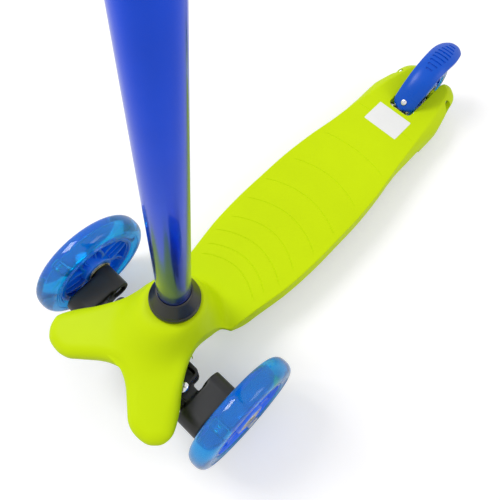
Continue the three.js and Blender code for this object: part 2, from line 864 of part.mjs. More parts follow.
// One curved rib from the hub to the rim, bent by an angle
function rib_outline(rim_radius, sweep) {
  const inner = hub_diameter / 2 - rib_thickness / 2;
  const outer = rim_radius - rim_wall / 2;
  const steps = 2;
  const near = [];
  const far = [];
  for (let i = 0; i <= steps; i += 1) {
    const share = i / steps;
    const radius = inner + (outer - inner) * share;
    const angle = sweep * share * share;
    const half = rib_thickness / 2 / radius;
    near.push([radius * Math.cos(angle - half), radius * Math.sin(angle - half)]);
    far.push([radius * Math.cos(angle + half), radius * Math.sin(angle + half)]);
  }
  return [...near, ...far.reverse()];
}

function make_core(rim_radius, width) {
  let core = turned(core_profile(rim_radius, width), plain_round);
  const rib_half = width * 0.34;
  for (let k = 0; k < rib_count; k += 1) {
    for (const side of [-1, 1]) {
      const sweep = side * THREE.MathUtils.degToRad(rib_sweep_deg);
      const rib = prism(rib_outline(rim_radius, sweep), -rib_half, rib_half);
      core = core.add(rib.rotate([0, 0, (360 * k) / rib_count]));
    }
  }
  return core;
}

function light_blocks(rim_radius, growth) {
  const base = rim_radius + light_ring_depth / 2;
  const top = rim_radius + touch_gap + light_ring_depth + light_height + growth;
  const half = light_length / 2 + growth;
  const deep = light_ring_width / 2 - touch_gap + growth;
  return Array.from({ length: light_count }, (_, k) => block([-half, base, -deep], [half, top, deep])
    .rotate([0, 0, (360 * k) / light_count]));
}

function make_light_ring(rim_radius) {
  const half = light_ring_width / 2;
  const inner = rim_radius + touch_gap;
  const band = ring(inner, inner + light_ring_depth - touch_gap, -half, half, fine_round);
  return joined(band, ...light_blocks(rim_radius, 0));
}

function bearing(bottom) {
  const inner = axle_diameter / 2 + touch_gap;
  return ring(inner, bearing_diameter / 2, bottom, bottom + bearing_width, plain_round);
}

function make_wheel(name, diameter, width, rim_diameter, lit) {
  const wheel = new THREE.Group();
  const rim_radius = rim_diameter / 2;
  const half = width / 2;
  const groove_half = lit ? light_ring_width / 2 + touch_gap : 0;
  const tyre_section = tyre_profile(diameter / 2, width, rim_radius, groove_half, light_ring_depth);
  let tyre = turned(tyre_section, fine_round);
  if (lit) tyre = cut(tyre, ...light_blocks(rim_radius, touch_gap));
  add(`${name}_tyre`, along_x(tyre), finishes.tyre_blue, wheel);
  add(`${name}_core`, along_x(make_core(rim_radius, width)), finishes.core_blue, wheel);
  if (lit) add(`${name}_light_ring`, along_x(make_light_ring(rim_radius)), finishes.clear, wheel);
  const right_bearing = bearing(-half);
  add(`${name}_bearing_right`, along_x(right_bearing), finishes.zinc, wheel);
  add(`${name}_bearing_left`, along_x(right_bearing.rotate([180, 0, 0])), finishes.zinc, wheel);
  const sleeve_half = half - bearing_width - touch_gap;
  const sleeve_inner = axle_diameter / 2 + touch_gap;
  const sleeve = ring(sleeve_inner, sleeve_inner + spacer_wall, -sleeve_half, sleeve_half, small_round);
  add(`${name}_spacer`, along_x(sleeve), finishes.zinc, wheel);
  return wheel;
}

// Front corner: knuckle, kingpin, axle and wheel. side is +1 on the rider's left. The wheel and what turns
// it tilt about the wheel's middle, with their tops inwards
const wheel_middle = front_track / 2;
const barrel_outer = hub_inner_face - washer_thickness - 2 * touch_gap;
const nut_floor = barrel_inner + nut_sink + nut_height;

function cambered(solid) {
  return solid.translate([-wheel_middle, -front_axle.y, -front_axle.z])
    .rotate([0, -front_camber_deg, 0])
    .translate([wheel_middle, front_axle.y, front_axle.z]);
}

// A solid that lies along X at the axle, on the side asked for
function on_axle(solid, side) {
  return mirrored(cambered(solid.translate([0, front_axle.y, front_axle.z])), side);
}

function arc_points(centre, radius, start_deg, end_deg, steps) {
  return Array.from({ length: steps + 1 }, (_, i) => {
    const angle = THREE.MathUtils.degToRad(start_deg + ((end_deg - start_deg) * i) / steps);
    return [centre[0] + radius * Math.cos(angle), centre[1] + radius * Math.sin(angle)];
  });
}

// The knuckle seen from the side: a round barrel behind and a larger drum ahead
function knuckle_outline() {
  const barrel = [front_axle.y, front_axle.z];
  const drum = [-drum_lead, drum_height];
  const spread = Math.atan2(drum[1] - barrel[1], drum[0] - barrel[0]);
  const distance = Math.hypot(drum[0] - barrel[0], drum[1] - barrel[1]);
  const lean = Math.acos((barrel_diameter / 2 - drum_diameter / 2) / distance);
  const base = THREE.MathUtils.radToDeg(spread);
  const turn = THREE.MathUtils.radToDeg(lean);
  const steps = 8;
  return [
    ...arc_points(barrel, barrel_diameter / 2, base - 360 + turn, base - turn, steps),
    ...arc_points(drum, drum_diameter / 2, base - turn, base + turn, steps),
  ];
}

function make_knuckle() {
  const body = side_prism(knuckle_outline(), knuckle_inner, knuckle_outer);
  const barrel = along_x(rod(barrel_diameter / 2, barrel_inner, barrel_outer, plain_round))
    .translate([0, front_axle.y, front_axle.z]);
  const eye = rod(eye_diameter / 2, eye_bottom, eye_top, small_round)
    .translate([kingpin_offset, kingpin_y, 0]);
  const half = eye_diameter * 0.4;
  const neck = block([kingpin_offset, kingpin_y - half, eye_bottom],
    [knuckle_inner + eye_diameter / 4, kingpin_y + half, eye_top]);
  const arm_half = steer_arm_width / 2;
  const arm_top = tie_rod_bottom - touch_gap;
  const arm_end = kingpin_y - steer_arm;
  const arm = block([kingpin_offset - arm_half, arm_end, eye_bottom],
    [kingpin_offset + arm_half, kingpin_y, arm_top]);
  const arm_tip = rod(arm_half, eye_bottom, arm_top, small_round).translate([kingpin_offset, arm_end, 0]);
  const pin = rod(tie_pin_diameter / 2, eye_bottom, tie_rod_bottom + tie_rod_height, small_round)
    .translate([kingpin_offset, arm_end, 0]);
  const axle_bore = along_x(rod(axle_diameter / 2 + touch_gap, 0, front_track, small_round));
  const recess = along_x(rod(nut_across / 2 + touch_gap, 0, nut_floor, small_round));
  const bores = cambered(joined(axle_bore, recess).translate([0, front_axle.y, front_axle.z]));
  const kingpin_bore = rod(kingpin_diameter / 2 + touch_gap, 0, front_wheel_diameter, small_round)
    .translate([kingpin_offset, kingpin_y, 0]);
  const head = cambered(joined(body, barrel));
  return cut(joined(head, eye, neck, arm, arm_tip, pin), bores, kingpin_bore);
}

function mirrored(solid, side) {
  return side > 0 ? solid : solid.mirror([1, 0, 0]);
}

function make_front_corner(side, word) {
  add(`knuckle_${word}`, mirrored(make_knuckle(), side), finishes.black);
  const pin_head = screw_head_diameter * 1.4;
  const seat = beam_top + touch_gap;
  const kingpin = pan_screw(kingpin_diameter, beam_bottom + touch_gap, seat, pin_head, screw_diameter)
    .translate([side * kingpin_offset, kingpin_y, 0]);
  add(`kingpin_${word}`, kingpin, finishes.zinc);
  const nut_start = nut_floor - nut_height - touch_gap;
  const axle = along_x(bolt(axle_diameter, nut_start - axle_end, hub_outer_face + touch_gap,
    bolt_head_diameter, bolt_head_height));
  add(`axle_bolt_${word}`, on_axle(axle, side), finishes.zinc);
  const axle_nut = along_x(nut(axle_diameter + 2 * touch_gap, nut_start, nut_height, nut_across));
  add(`axle_nut_${word}`, on_axle(axle_nut, side), finishes.zinc);
  const washer_start = barrel_outer + touch_gap;
  const washer = along_x(ring(axle_diameter / 2 + touch_gap, barrel_diameter / 2 + washer_margin,
    washer_start, washer_start + washer_thickness, plain_round));
  add(`axle_washer_${word}`, on_axle(washer, side), finishes.brass_zinc);
  const wheel = make_wheel(`front_${word}`, front_wheel_diameter, front_wheel_width,
    front_rim_diameter, true);
  wheel.position.set(side * wheel_middle, front_axle.y, front_axle.z);
  wheel.rotation.y = -side * front_camber;
  scooter.add(wheel);
}

make_front_corner(1, 'left');
make_front_corner(-1, 'right');

// Steering beam: a thick plate that leans on the pin and forks round each knuckle's eye
function beam_outline() {
  const corner = [beam_half_width - beam_corner, -beam_rear - beam_corner];
  const notch = pin_wall_half + beam_notch_margin;
  const half = [
    [beam_half_width * 0.7, -beam_front],
    [beam_half_width * 0.88, -beam_front + beam_corner],
    [beam_half_width, -kingpin_lead],
    ...arc_points(corner, beam_corner, 0, 90, 3),
    [notch, -beam_rear],
    [notch - beam_notch_taper, -pin_wall_back - touch_gap],
  ];
  return both_sides(half);
}

function make_beam() {
  const plate = prism(beam_outline(), beam_bottom, beam_top);
  const pin_radius = lean_pin_diameter / 2 + touch_gap;
  const pin_bore = along_y(rod(pin_radius, -nose_reach, 0, small_round)).translate([0, 0, lean_height]);
  const tools = [pin_bore];
  for (const side of [-1, 1]) {
    const inner = side * (beam_half_width * 0.68);
    const [x0, x1] = [inner, side * front_track].sort((p, q) => p - q);
    tools.push(block([x0, -nose_reach, eye_bottom - touch_gap], [x1, 0, eye_top + touch_gap]));
    tools.push(rod(kingpin_diameter / 2 + touch_gap, 0, front_wheel_diameter, small_round)
      .translate([side * kingpin_offset, kingpin_y, 0]));
  }
  return cut(plate, ...tools);
}

add('steering_beam', make_beam(), finishes.black);

const lean_pin = along_y(bolt(lean_pin_diameter, pin_wall_rear + lean_pin_inset, lean_pin_seat,
  bolt_head_diameter, lean_head_height).rotate([180, 0, 0]));
add('lean_pin', lean_pin.translate([0, 0, lean_height]), finishes.zinc);

function make_tie_rod() {
  const middle = kingpin_y - steer_arm;
  const half = tie_rod_width / 2;
  const top = tie_rod_bottom + tie_rod_height;
  const bar = block([-kingpin_offset, middle - half, tie_rod_bottom], [kingpin_offset, middle + half, top]);
  const hole_radius = tie_pin_diameter / 2 + swing_gap;
  const eye_radius = half + tie_rod_eye_margin;
  const ends = [-1, 1].map((side) => rod(eye_radius, tie_rod_bottom, top, small_round)
    .translate([side * kingpin_offset, middle, 0]));
  const low = tie_rod_bottom - cut_overrun;
  const holes = [-1, 1].map((side) => rod(hole_radius, low, top + cut_overrun, small_round)
    .translate([side * kingpin_offset, middle, 0]));
  return cut(joined(bar, ...ends), ...holes);
}

add('tie_rod', make_tie_rod(), finishes.black);

for (const [side, word] of [[1, 'left'], [-1, 'right']]) {
  const radius = (spring_diameter - spring_wire) / 2;
  const wound = coil(`centring_spring_${word}`, radius, spring_wire, beam_top + touch_gap,
    spring_seat_height - touch_gap, spring_curls);
  add(`centring_spring_${word}`, wound.translate([side * spring_offset, -spring_lead, 0]), finishes.zinc);
}

// Rear wheel
const rear_wheel = make_wheel('rear', rear_wheel_diameter, rear_wheel_width, rear_rim_diameter, false);
rear_wheel.position.set(0, rear_axle.y, rear_axle.z);
scooter.add(rear_wheel);
const rear_head = axle_recess_diameter - 2 * touch_gap;
const rear_seat = axle_recess_floor + touch_gap;
const rear_axle_bolt = along_x(bolt(axle_diameter, -axle_recess_floor - rear_nut_height, rear_seat,
  rear_head, rear_head_height));
add('rear_axle_bolt', rear_axle_bolt.translate([0, rear_axle.y, rear_axle.z]), finishes.zinc);
const rear_axle_nut = along_x(nut(axle_diameter + 2 * touch_gap, rear_seat, rear_nut_height, rear_head))
  .mirror([1, 0, 0]);
add('rear_axle_nut', rear_axle_nut.translate([0, rear_axle.y, rear_axle.z]), finishes.zinc);

// Foot brake: the fender's top line, in shares of the wheel's radius from the axle
const fender_line_shares = [
  [-1.395, 0.21],
  [-1.263, 0.4],
  [-1.0, 0.74],
  [-0.658, 1.03],
  [-0.263, 1.22],
  [0.132, 1.29],
  [0.526, 1.276],
  [0.895, 1.21],
  [1.158, 1.12],
  [1.29, 1.02],
];
function fender_curve() {
  const radius = rear_wheel_diameter / 2;
  const points = fender_line_shares.map(([behind, above]) => new THREE.Vector2(
    rear_axle.y + behind * radius, rear_axle.z + above * radius));
  return new THREE.SplineCurve(points);
}

// Sections along the fender's line: half widths and depths below the line
function strip(from_share, to_share, section_at) {
  const curve = fender_curve();
  const rings = [];
  for (let i = 0; i <= fender_steps; i += 1) {
    const share = from_share + ((to_share - from_share) * i) / fender_steps;
    const point = curve.getPointAt(share);
    const ahead = curve.getTangentAt(share);
    rings.push(section_at(share).map(([across, down]) => ({
      x: across,
      y: point.x + ahead.y * down,
      z: point.y - ahead.x * down,
      u: across,
      v: down,
    })));
  }
  return lofted(rings);
}

function fender_half_width(share) {
  return (fender_width_front + (fender_width_rear - fender_width_front) * Math.min(1, share * 1.4)) / 2;
}

function fender_section(share) {
  const half = fender_half_width(share);
  const into_tip = Math.min(1, Math.max(0, (share - fender_tip_share) / (1 - fender_tip_share)));
  const ends = fender_tip_width_share + (1 - fender_tip_width_share) * Math.sqrt(1 - into_tip ** 2);
  const skirt = fender_skirt * (0.35 + 0.65 * Math.min(1, share * 5)) * ends;
  const side = half * ends;
  const outer = [
    [-side, skirt],
    [-side, fender_crown],
    [-side * 0.75, fender_crown * 0.3],
    [0, 0],
    [side * 0.75, fender_crown * 0.3],
    [side, fender_crown],
    [side, skirt],
  ];
  const inner = [
    [side - fender_wall, skirt],
    [side - fender_wall, fender_crown + fender_wall],
    [-side + fender_wall, fender_crown + fender_wall],
    [-side + fender_wall, skirt],
  ];
  return [...outer, ...inner];
}

const fender_roof = fender_crown + fender_wall;

function make_fender() {
  const shell = strip(0, 1, fender_section);
  return cut(shell, brake_screw_tool(screw_diameter / 2 + touch_gap));
}

// Place a solid that stands along Z at the screw's share of the fender's line, square to it
function at_screw(solid) {
  const curve = fender_curve();
  const point = curve.getPointAt(brake_screw_share);
  const ahead = curve.getTangentAt(brake_screw_share);
  const tilt = THREE.MathUtils.radToDeg(Math.atan2(ahead.y, ahead.x));
  return solid.rotate([tilt, 0, 0]).translate([0, point.x, point.y]);
}

function brake_screw_tool(radius) {
  return at_screw(rod(radius, -screw_length, screw_length, small_round));
}

function bracket_section() {
  const half = bracket_width / 2;
  const top = fender_roof + touch_gap;
  return [[-half, top + bracket_thickness], [-half, top], [half, top], [half, top + bracket_thickness]];
}

function make_bracket() {
  const plate = strip(bracket_start_share, bracket_end_share, bracket_section);
  const lugs = [-1, 1].map((side) => {
    const outer = bracket_width / 2;
    const [x0, x1] = [side * (outer - lug_thickness), side * outer].sort((p, q) => p - q);
    return side_prism(lug_outline(), x0, x1);
  });
  const bore = along_x(rod(brake_pin_diameter / 2 + touch_gap, -deck_width, deck_width, small_round))
    .translate([0, brake_pivot.y, brake_pivot.z]);
  return cut(joined(plate, ...lugs), bore, brake_screw_tool(screw_diameter / 2 + touch_gap));
}

// A lug runs from the strip down round the pivot
function lug_outline() {
  const curve = fender_curve();
  const depth = fender_roof + touch_gap + bracket_thickness / 2;
  const on_strip = (share) => {
    const point = curve.getPointAt(share);
    const ahead = curve.getTangentAt(share);
    return [point.x + ahead.y * depth, point.y - ahead.x * depth];
  };
  const eye = brake_pin_diameter / 2 + lug_thickness;
  const round = arc_points([brake_pivot.y, brake_pivot.z], eye, 150, 360, 6);
  const end_share = bracket_end_share - bracket_start_share / 3;
  const middle_share = (bracket_start_share + end_share) / 2;
  const start_share = bracket_start_share * 1.3;
  return [...round, on_strip(end_share), on_strip(middle_share), on_strip(start_share)];
}

add('brake_fender', make_fender(), finishes.blue_plastic);
add('brake_bracket', make_bracket(), finishes.zinc);
const brake_screw = pan_screw(screw_diameter, -screw_length * 0.8, touch_gap, screw_head_diameter,
  screw_diameter * 0.7);
add('brake_screw', at_screw(brake_screw), finishes.chrome);
const brake_pin = along_x(rod(brake_pin_diameter / 2, -brake_pin_half, brake_pin_half, small_round));
add('brake_pin', brake_pin.translate([0, brake_pivot.y, brake_pivot.z]), finishes.zinc);
const brake_spring_radius = (brake_pin_diameter + brake_spring_wire) / 2 + touch_gap * 2;
const brake_spring_half = bracket_width / 2 - lug_thickness - touch_gap;
const brake_spring = along_x(coil('brake_spring', brake_spring_radius, brake_spring_wire, -brake_spring_half,
  brake_spring_half, brake_spring_curls));
add('brake_spring', brake_spring.translate([0, brake_pivot.y, brake_pivot.z]), finishes.zinc);

// Column, in its own frame: Z runs up the column from the top of the boss
function make_collar() {
  const inner = column_radius + touch_gap;
  const outer = collar_diameter / 2;
  const profile = [
    [inner, touch_gap],
    [outer, touch_gap],
    [outer, collar_height * 0.33],
    [outer * 0.965, collar_height * 0.4],
    [inner * 1.1, collar_height * 0.95],
    [inner, collar_height],
    [inner, touch_gap],
  ];
  return turned(profile, fine_round);
}

add('column_collar', make_collar(), finishes.rubber, column);

const tube_inner = column_radius - column_wall;
const button_hole_tool = along_y(rod(button_diameter / 2 + touch_gap, 0, column_diameter, small_round))
  .translate([0, 0, -button_level]);
const lower_tube = ring(tube_inner, column_radius, -receiver_depth, lower_tube_top, fine_round);
add('lower_tube', cut(lower_tube, button_hole_tool), finishes.blue_metal, column);

// Plug in the tube's foot, with the well that the lock button and its spring stand in
const plug_top = -button_level + button_diameter;
const well_floor = -tube_inner * 0.75;
function make_plug() {
  const body = rod(tube_inner - touch_gap, -receiver_depth, plug_top, small_round);
  const well_radius = button_diameter / 2 + touch_gap;
  const well = along_y(rod(well_radius, well_floor, column_diameter, small_round));
  return cut(body, well.translate([0, 0, -button_level]));
}

add('bottom_plug', make_plug(), finishes.black, column);
const button_tail = column_radius - button_travel - button_shoulder;
const button_tip = receiver_diameter / 2 + button_stand;
const button = along_y(rod(button_diameter / 2, button_tail, button_tip, small_round));
add('lock_button', button.translate([0, 0, -button_level]), finishes.zinc, column);
const button_spring = along_y(coil('lock_spring', button_diameter * 0.3, lock_spring_wire,
  well_floor + touch_gap, button_tail - touch_gap, lock_spring_curls));
add('lock_spring', button_spring.translate([0, 0, -button_level]), finishes.zinc, column);

// Clamp collar with two ears behind the column
const clamp_outer = column_radius + touch_gap + clamp_wall;
const clamp_middle = clamp_bottom + clamp_height / 2;
const ear_middle = clamp_outer + clamp_ear_length / 2;
const ear_outer = clamp_slit / 2 + clamp_ear_thickness;

function make_clamp() {
  const inner = column_radius + touch_gap;
  const top = clamp_bottom + clamp_height;
  const band = ring(inner, clamp_outer, clamp_bottom, top, fine_round);
  const lip_bottom = lower_tube_top + touch_gap;
  const lip = ring(upper_radius + touch_gap, inner + clamp_wall / 2, lip_bottom, top, fine_round);
  const ears = block([-ear_outer, inner + clamp_wall / 2, clamp_bottom + clamp_wall],
    [ear_outer, clamp_outer + clamp_ear_length, top - clamp_wall]);
  const slit = block([-clamp_slit / 2, 0, clamp_bottom - cut_overrun],
    [clamp_slit / 2, column_diameter * 2, top + cut_overrun]);
  const bolt_radius = clamp_bolt_diameter / 2 + touch_gap;
  const bolt_bore = along_x(rod(bolt_radius, -column_diameter, column_diameter, small_round))
    .translate([0, ear_middle, clamp_middle]);
  return cut(joined(band, lip, ears), slit, bolt_bore);
}

const upper_radius = tube_inner - touch_gap;
add('clamp_collar', make_clamp(), finishes.black, column);
const cam_radius = clamp_bolt_diameter;
const cam_x = ear_outer + touch_gap + cam_radius;

// Bolt through the ears that ends in the cross pin on which the lever turns
function make_clamp_bolt() {
  const end = -ear_outer - clamp_nut_height - clamp_bolt_end;
  const shank = along_x(rod(clamp_bolt_diameter / 2, end, cam_x, small_round));
  const pin_half = lever_height / 2 + clamp_bolt_end;
  const pin = rod(clamp_bolt_diameter * 0.4, -pin_half, pin_half, small_round).translate([cam_x, 0, 0]);
  return joined(shank, pin).translate([0, ear_middle, clamp_middle]);
}

add('clamp_bolt', make_clamp_bolt(), finishes.zinc, column);
const clamp_nut = along_x(nut(clamp_bolt_diameter + 2 * touch_gap, ear_outer + touch_gap, clamp_nut_height,
  clamp_bolt_diameter * 2)).mirror([1, 0, 0]);
add('clamp_nut', clamp_nut.translate([0, ear_middle, clamp_middle]), finishes.zinc, column);

// Lever: a cam with an arm that lies along the clamp when it is shut
function make_lever() {
  const half = lever_height / 2;
  const arm_x = clamp_outer + touch_gap * 3;
  const outer_x = arm_x + lever_thickness;
  const arm_end = ear_middle - lever_length;
  const arm = prism([
    [cam_x - cam_radius * 0.2, ear_middle + cam_radius],
    [cam_x - cam_radius * 0.2, ear_middle - cam_radius * 0.9],
    [arm_x, ear_middle - cam_radius * 1.8],
    [arm_x, arm_end],
    [outer_x, arm_end - lever_thickness],
    [outer_x, ear_middle - cam_radius],
    [cam_x + cam_radius * 0.6, ear_middle + cam_radius * 0.9],
  ], -half, half);
  const cam = rod(cam_radius, -half, half, small_round).translate([cam_x, ear_middle, 0]);
  const bore = rod(clamp_bolt_diameter * 0.4 + touch_gap, -lever_height, lever_height, small_round)
    .translate([cam_x, ear_middle, 0]);
  const shank_half = clamp_bolt_diameter / 2 + touch_gap;
  const reach = cam_radius + clamp_bolt_diameter;
  const slot = block([cam_x - reach, ear_middle - shank_half, -shank_half],
    [cam_x, ear_middle + reach, shank_half]);
  const slot_rear = block([cam_x - reach, ear_middle - shank_half, -shank_half],
    [cam_x + shank_half * 1.6, ear_middle + reach, shank_half]);
  return cut(joined(arm, cam), bore, slot, slot_rear).translate([0, 0, clamp_middle]);
}

add('clamp_lever', make_lever(), finishes.black, column);

// Sliding upper column with the handlebar
const bar_radius = bar_diameter / 2;
const upper_tube = ring(upper_radius - upper_tube_wall, upper_radius, upper_tube_bottom,
  bar_level - bar_radius - touch_gap * 2, fine_round);
add('upper_tube', upper_tube, finishes.chrome, column);

function make_tee() {
  const stem_outer = upper_radius + touch_gap + tee_wall;
  const sleeve_outer = bar_radius + touch_gap + tee_wall;
  const stem = rod(stem_outer, bar_level - sleeve_outer - tee_drop, bar_level, plain_round);
  const sleeve = along_x(rod(sleeve_outer, -tee_width / 2, tee_width / 2, plain_round))
    .translate([0, 0, bar_level]);
  const stem_bore = rod(upper_radius + touch_gap, 0, bar_level - bar_radius / 2, plain_round);
  const bar_bore = along_x(rod(bar_radius + touch_gap, -tee_width, tee_width, plain_round))
    .translate([0, 0, bar_level]);
  return cut(joined(stem, sleeve), stem_bore, bar_bore);
}

add('handlebar_tee', make_tee(), finishes.black, column);
const bar_half = bar_length / 2;
const crossbar = along_x(ring(bar_radius - bar_wall, bar_radius, -bar_half, bar_half, plain_round));
add('crossbar', crossbar.translate([0, 0, bar_level]), finishes.chrome, column);

// Closed rubber grip with a guard at its inner end
function make_grip() {
  const inner = bar_radius + touch_gap;
  const end = bar_length / 2 + grip_flange;
  const start = tee_width / 2 + grip_gap;
  const flange = grip_flange_diameter / 2;
  const outer = grip_diameter / 2;
  const profile = [
    [inner, start],
    [flange * 0.9, start],
    [flange, start + grip_flange * 0.3],
    [flange, start + grip_flange * 0.7],
    [flange * 0.9, start + grip_flange],
    [outer * 0.9, start + grip_flange * 1.6],
    [outer, (start + end) / 2],
    [outer * 0.92, end - grip_flange * 1.5],
    [flange * 0.9, end - grip_flange * 0.9],
    [flange * 0.9, end - grip_flange * 0.2],
    [flange * 0.7, end],
    [0, end],
    [0, bar_length / 2 + touch_gap],
    [inner, bar_length / 2 + touch_gap],
    [inner, start],
  ];
  return along_x(turned(profile, plain_round));
}

for (const [side, word] of [[1, 'left'], [-1, 'right']]) {
  add(`grip_${word}`, mirrored(make_grip(), side).translate([0, 0, bar_level]), finishes.rubber, column);
}

// Stand the scooter on the middle of its base
scooter.updateMatrixWorld(true);
const span = new THREE.Box3().setFromObject(scooter, true);
const middle = span.getCenter(new THREE.Vector3());
scooter.position.set(-middle.x, -middle.y, -span.min.z);
scooter.updateMatrixWorld(true);

export default scooter;
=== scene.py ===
"""Dressed model of a three wheel kids scooter that steers by leaning.

Sizes are in millimetres in the frame that the scooter was drawn in: y = 0 is the column's axis at the top
of the deck's boss, z = 0 is the floor, and the rider faces -Y. Meshes are turned into metres and moved to
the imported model's frame once, where they are made.
"""
import logging
import math
from dataclasses import dataclass, field
from enum import Enum
from typing import Callable, Optional, Sequence

import bpy
import numpy as np
from mathutils import Matrix, Vector
from mathutils.geometry import delaunay_2d_cdt
from mathutils.kdtree import KDTree


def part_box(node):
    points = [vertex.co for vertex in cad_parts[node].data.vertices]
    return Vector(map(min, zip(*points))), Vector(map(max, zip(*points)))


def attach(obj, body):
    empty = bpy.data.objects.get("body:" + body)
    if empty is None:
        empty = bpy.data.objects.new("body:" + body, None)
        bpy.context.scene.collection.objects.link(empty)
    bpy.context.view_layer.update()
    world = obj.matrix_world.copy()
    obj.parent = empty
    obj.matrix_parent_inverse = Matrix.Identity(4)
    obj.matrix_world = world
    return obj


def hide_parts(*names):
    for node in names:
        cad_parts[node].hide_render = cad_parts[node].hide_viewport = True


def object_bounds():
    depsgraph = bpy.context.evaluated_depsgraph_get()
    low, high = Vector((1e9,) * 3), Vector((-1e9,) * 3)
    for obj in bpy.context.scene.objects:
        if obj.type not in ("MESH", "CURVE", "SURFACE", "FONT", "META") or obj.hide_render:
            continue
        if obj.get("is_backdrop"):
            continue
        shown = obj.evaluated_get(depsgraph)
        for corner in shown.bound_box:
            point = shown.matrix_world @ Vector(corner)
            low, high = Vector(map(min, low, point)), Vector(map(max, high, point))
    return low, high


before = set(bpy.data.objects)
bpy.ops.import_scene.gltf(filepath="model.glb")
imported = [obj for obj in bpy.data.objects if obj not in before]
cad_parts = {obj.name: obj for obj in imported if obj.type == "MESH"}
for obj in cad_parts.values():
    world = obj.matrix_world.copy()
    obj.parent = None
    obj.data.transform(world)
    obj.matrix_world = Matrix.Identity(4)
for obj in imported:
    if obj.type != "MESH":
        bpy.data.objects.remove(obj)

CAD_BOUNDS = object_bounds()
MM = 0.001
TOUCH_GAP = 0.3
WHEEL_PLACE = (102.7, -23.0, 59.815)
SHARP_ANGLE = math.radians(38.0)

Point2 = tuple[float, float]
Color = tuple[float, float, float]
log = logging.getLogger("scooter")


def shift_along() -> float:
    """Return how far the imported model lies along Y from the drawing, in millimetres."""
    low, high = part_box("axle_washer_left")
    return (low[1] + high[1]) / 2 / MM - WHEEL_PLACE[1]


SHIFT_Y = shift_along()


class Body(Enum):
    """The moving bodies that pieces ride on."""

    DECK = "deck"
    BEAM = "beam"
    TIE_ROD = "tie_rod"
    KNUCKLE_LEFT = "knuckle_left"
    KNUCKLE_RIGHT = "knuckle_right"
    WHEEL_LEFT = "front_wheel_left"
    WHEEL_RIGHT = "front_wheel_right"
    WHEEL_REAR = "rear_wheel"
    BRAKE = "brake"
    HANDLEBAR = "handlebar"
    LEVER = "clamp_lever"
    BUTTON = "lock_button"


class Side(Enum):
    """The rider's two sides, with the sign of X there."""

    LEFT = 1
    RIGHT = -1

    @property
    def word(self) -> str:
        """Return the side's name in lower case."""
        return self.name.lower()

    def span(self, near: float, far: float) -> list[float]:
        """Return two distances from the middle as places along X, the lesser first."""
        return sorted((self.value * near, self.value * far))


class Join(Enum):
    """How one solid is combined with another."""

    UNION = "UNION"
    CUT = "DIFFERENCE"
    COMMON = "INTERSECT"


# Turns of a solid that was drawn standing along Z, and the places and bores that several pieces share.
# Pairs are (x, y), but (y, z) for the rear axle and the brake's pivot.

ALONG_X = Matrix.Rotation(math.pi / 2, 4, "Y")
ALONG_Y = Matrix.Rotation(-math.pi / 2, 4, "X")
SIDEWAYS = Matrix(((0, 0, 1, 0), (1, 0, 0, 0), (0, 1, 0, 0), (0, 0, 0, 1)))
WHEEL_LEAN = math.radians(4.5)
BOSS_TOP = 116.0
RAKE = math.radians(4.6)
KINGPIN = (51.0, -44.0)
SPRING_PLACE = (30.48, -42.0)
TIE_LINE = -62.0
LEAN_HEIGHT = 54.0
COVER_SCREWS = (-68.7, -22.0)
REAR_AXLE = (420.0, 38.0)
BRAKE_PIVOT = (373.0, 36.0)
BRAKE_BORE = 3.3
BUTTON_DEPTH = 41.0
BORE = 4.3

def at(x: float, y: float, z: float) -> Matrix:
    """Return the move to a place in the drawing's frame."""
    return Matrix.Translation((x, y, z))


COLUMN = at(0, 0, BOSS_TOP) @ Matrix.Rotation(-RAKE, 4, "X")
BUTTON_AXIS = at(0, 0, -BUTTON_DEPTH) @ ALONG_Y
CAMBER = at(*WHEEL_PLACE) @ Matrix.Rotation(-WHEEL_LEAN, 4, "Y") @ at(*WHEEL_PLACE).inverted()


# Meshes


@dataclass
class Form:
    """A closed skin: its points in millimetres and its faces."""

    points: np.ndarray
    faces: list[tuple[int, ...]]

    def moved(self, matrix: Matrix) -> "Form":
        """Return the form moved by a matrix, turned inside out again if the matrix mirrors it.

        Args:
            matrix: A 4 by 4 matrix.

        Returns:
            The moved form.
        """
        m = np.array(matrix)
        points = self.points @ m[:3, :3].T + m[:3, 3]
        flip = np.linalg.det(m[:3, :3]) < 0
        faces = [tuple(reversed(face)) for face in self.faces] if flip else self.faces
        return Form(points, faces)

    def mirrored(self, side: Side) -> "Form":
        """Return the form as it is on a side, drawn for the rider's left."""
        return self if side is Side.LEFT else self.moved(Matrix.Diagonal((-1, 1, 1, 1)))

    def plus(self, *others: "Form") -> "Form":
        """Return the form with others beside it, not merged.

        Args:
            others: Forms that don't touch this one.

        Returns:
            One form that holds them all.
        """
        points, faces, start = [self.points], list(self.faces), len(self.points)
        for other in others:
            points.append(other.points)
            faces += [tuple(i + start for i in face) for face in other.faces]
            start += len(other.points)
        return Form(np.vstack(points), faces)

    def mesh(self, name: str, scale: float = 1.0, shift: float = 0.0) -> bpy.types.Mesh:
        """Make a Blender mesh of the form.

        Args:
            name: The mesh's name.
            scale: What a millimetre becomes.
            shift: The move along Y, in millimetres, before scaling.

        Returns:
            The new mesh.
        """
        made = bpy.data.meshes.new(name)
        points = (self.points + np.array((0.0, shift, 0.0))) * scale
        made.from_pydata(points.tolist(), [], self.faces)
        made.update()
        return made


def rectangle(x0: float, x1: float, y0: float, y1: float) -> list[Point2]:
    """Return a rectangle's corners, anticlockwise from the least x and y."""
    return [(x0, y0), (x1, y0), (x1, y1), (x0, y1)]


def arc(centre: Point2, radius: float, start: float, end: float, steps: int) -> list[Point2]:
    """Return points on an arc.

    Args:
        centre: Its centre.
        radius: Its radius.
        start: The first angle, in radians.
        end: The last angle.
        steps: The number of steps.

    Returns:
        The points, both ends included.
    """
    return [(centre[0] + radius * math.cos(a), centre[1] + radius * math.sin(a))
            for a in np.linspace(start, end, steps + 1)]


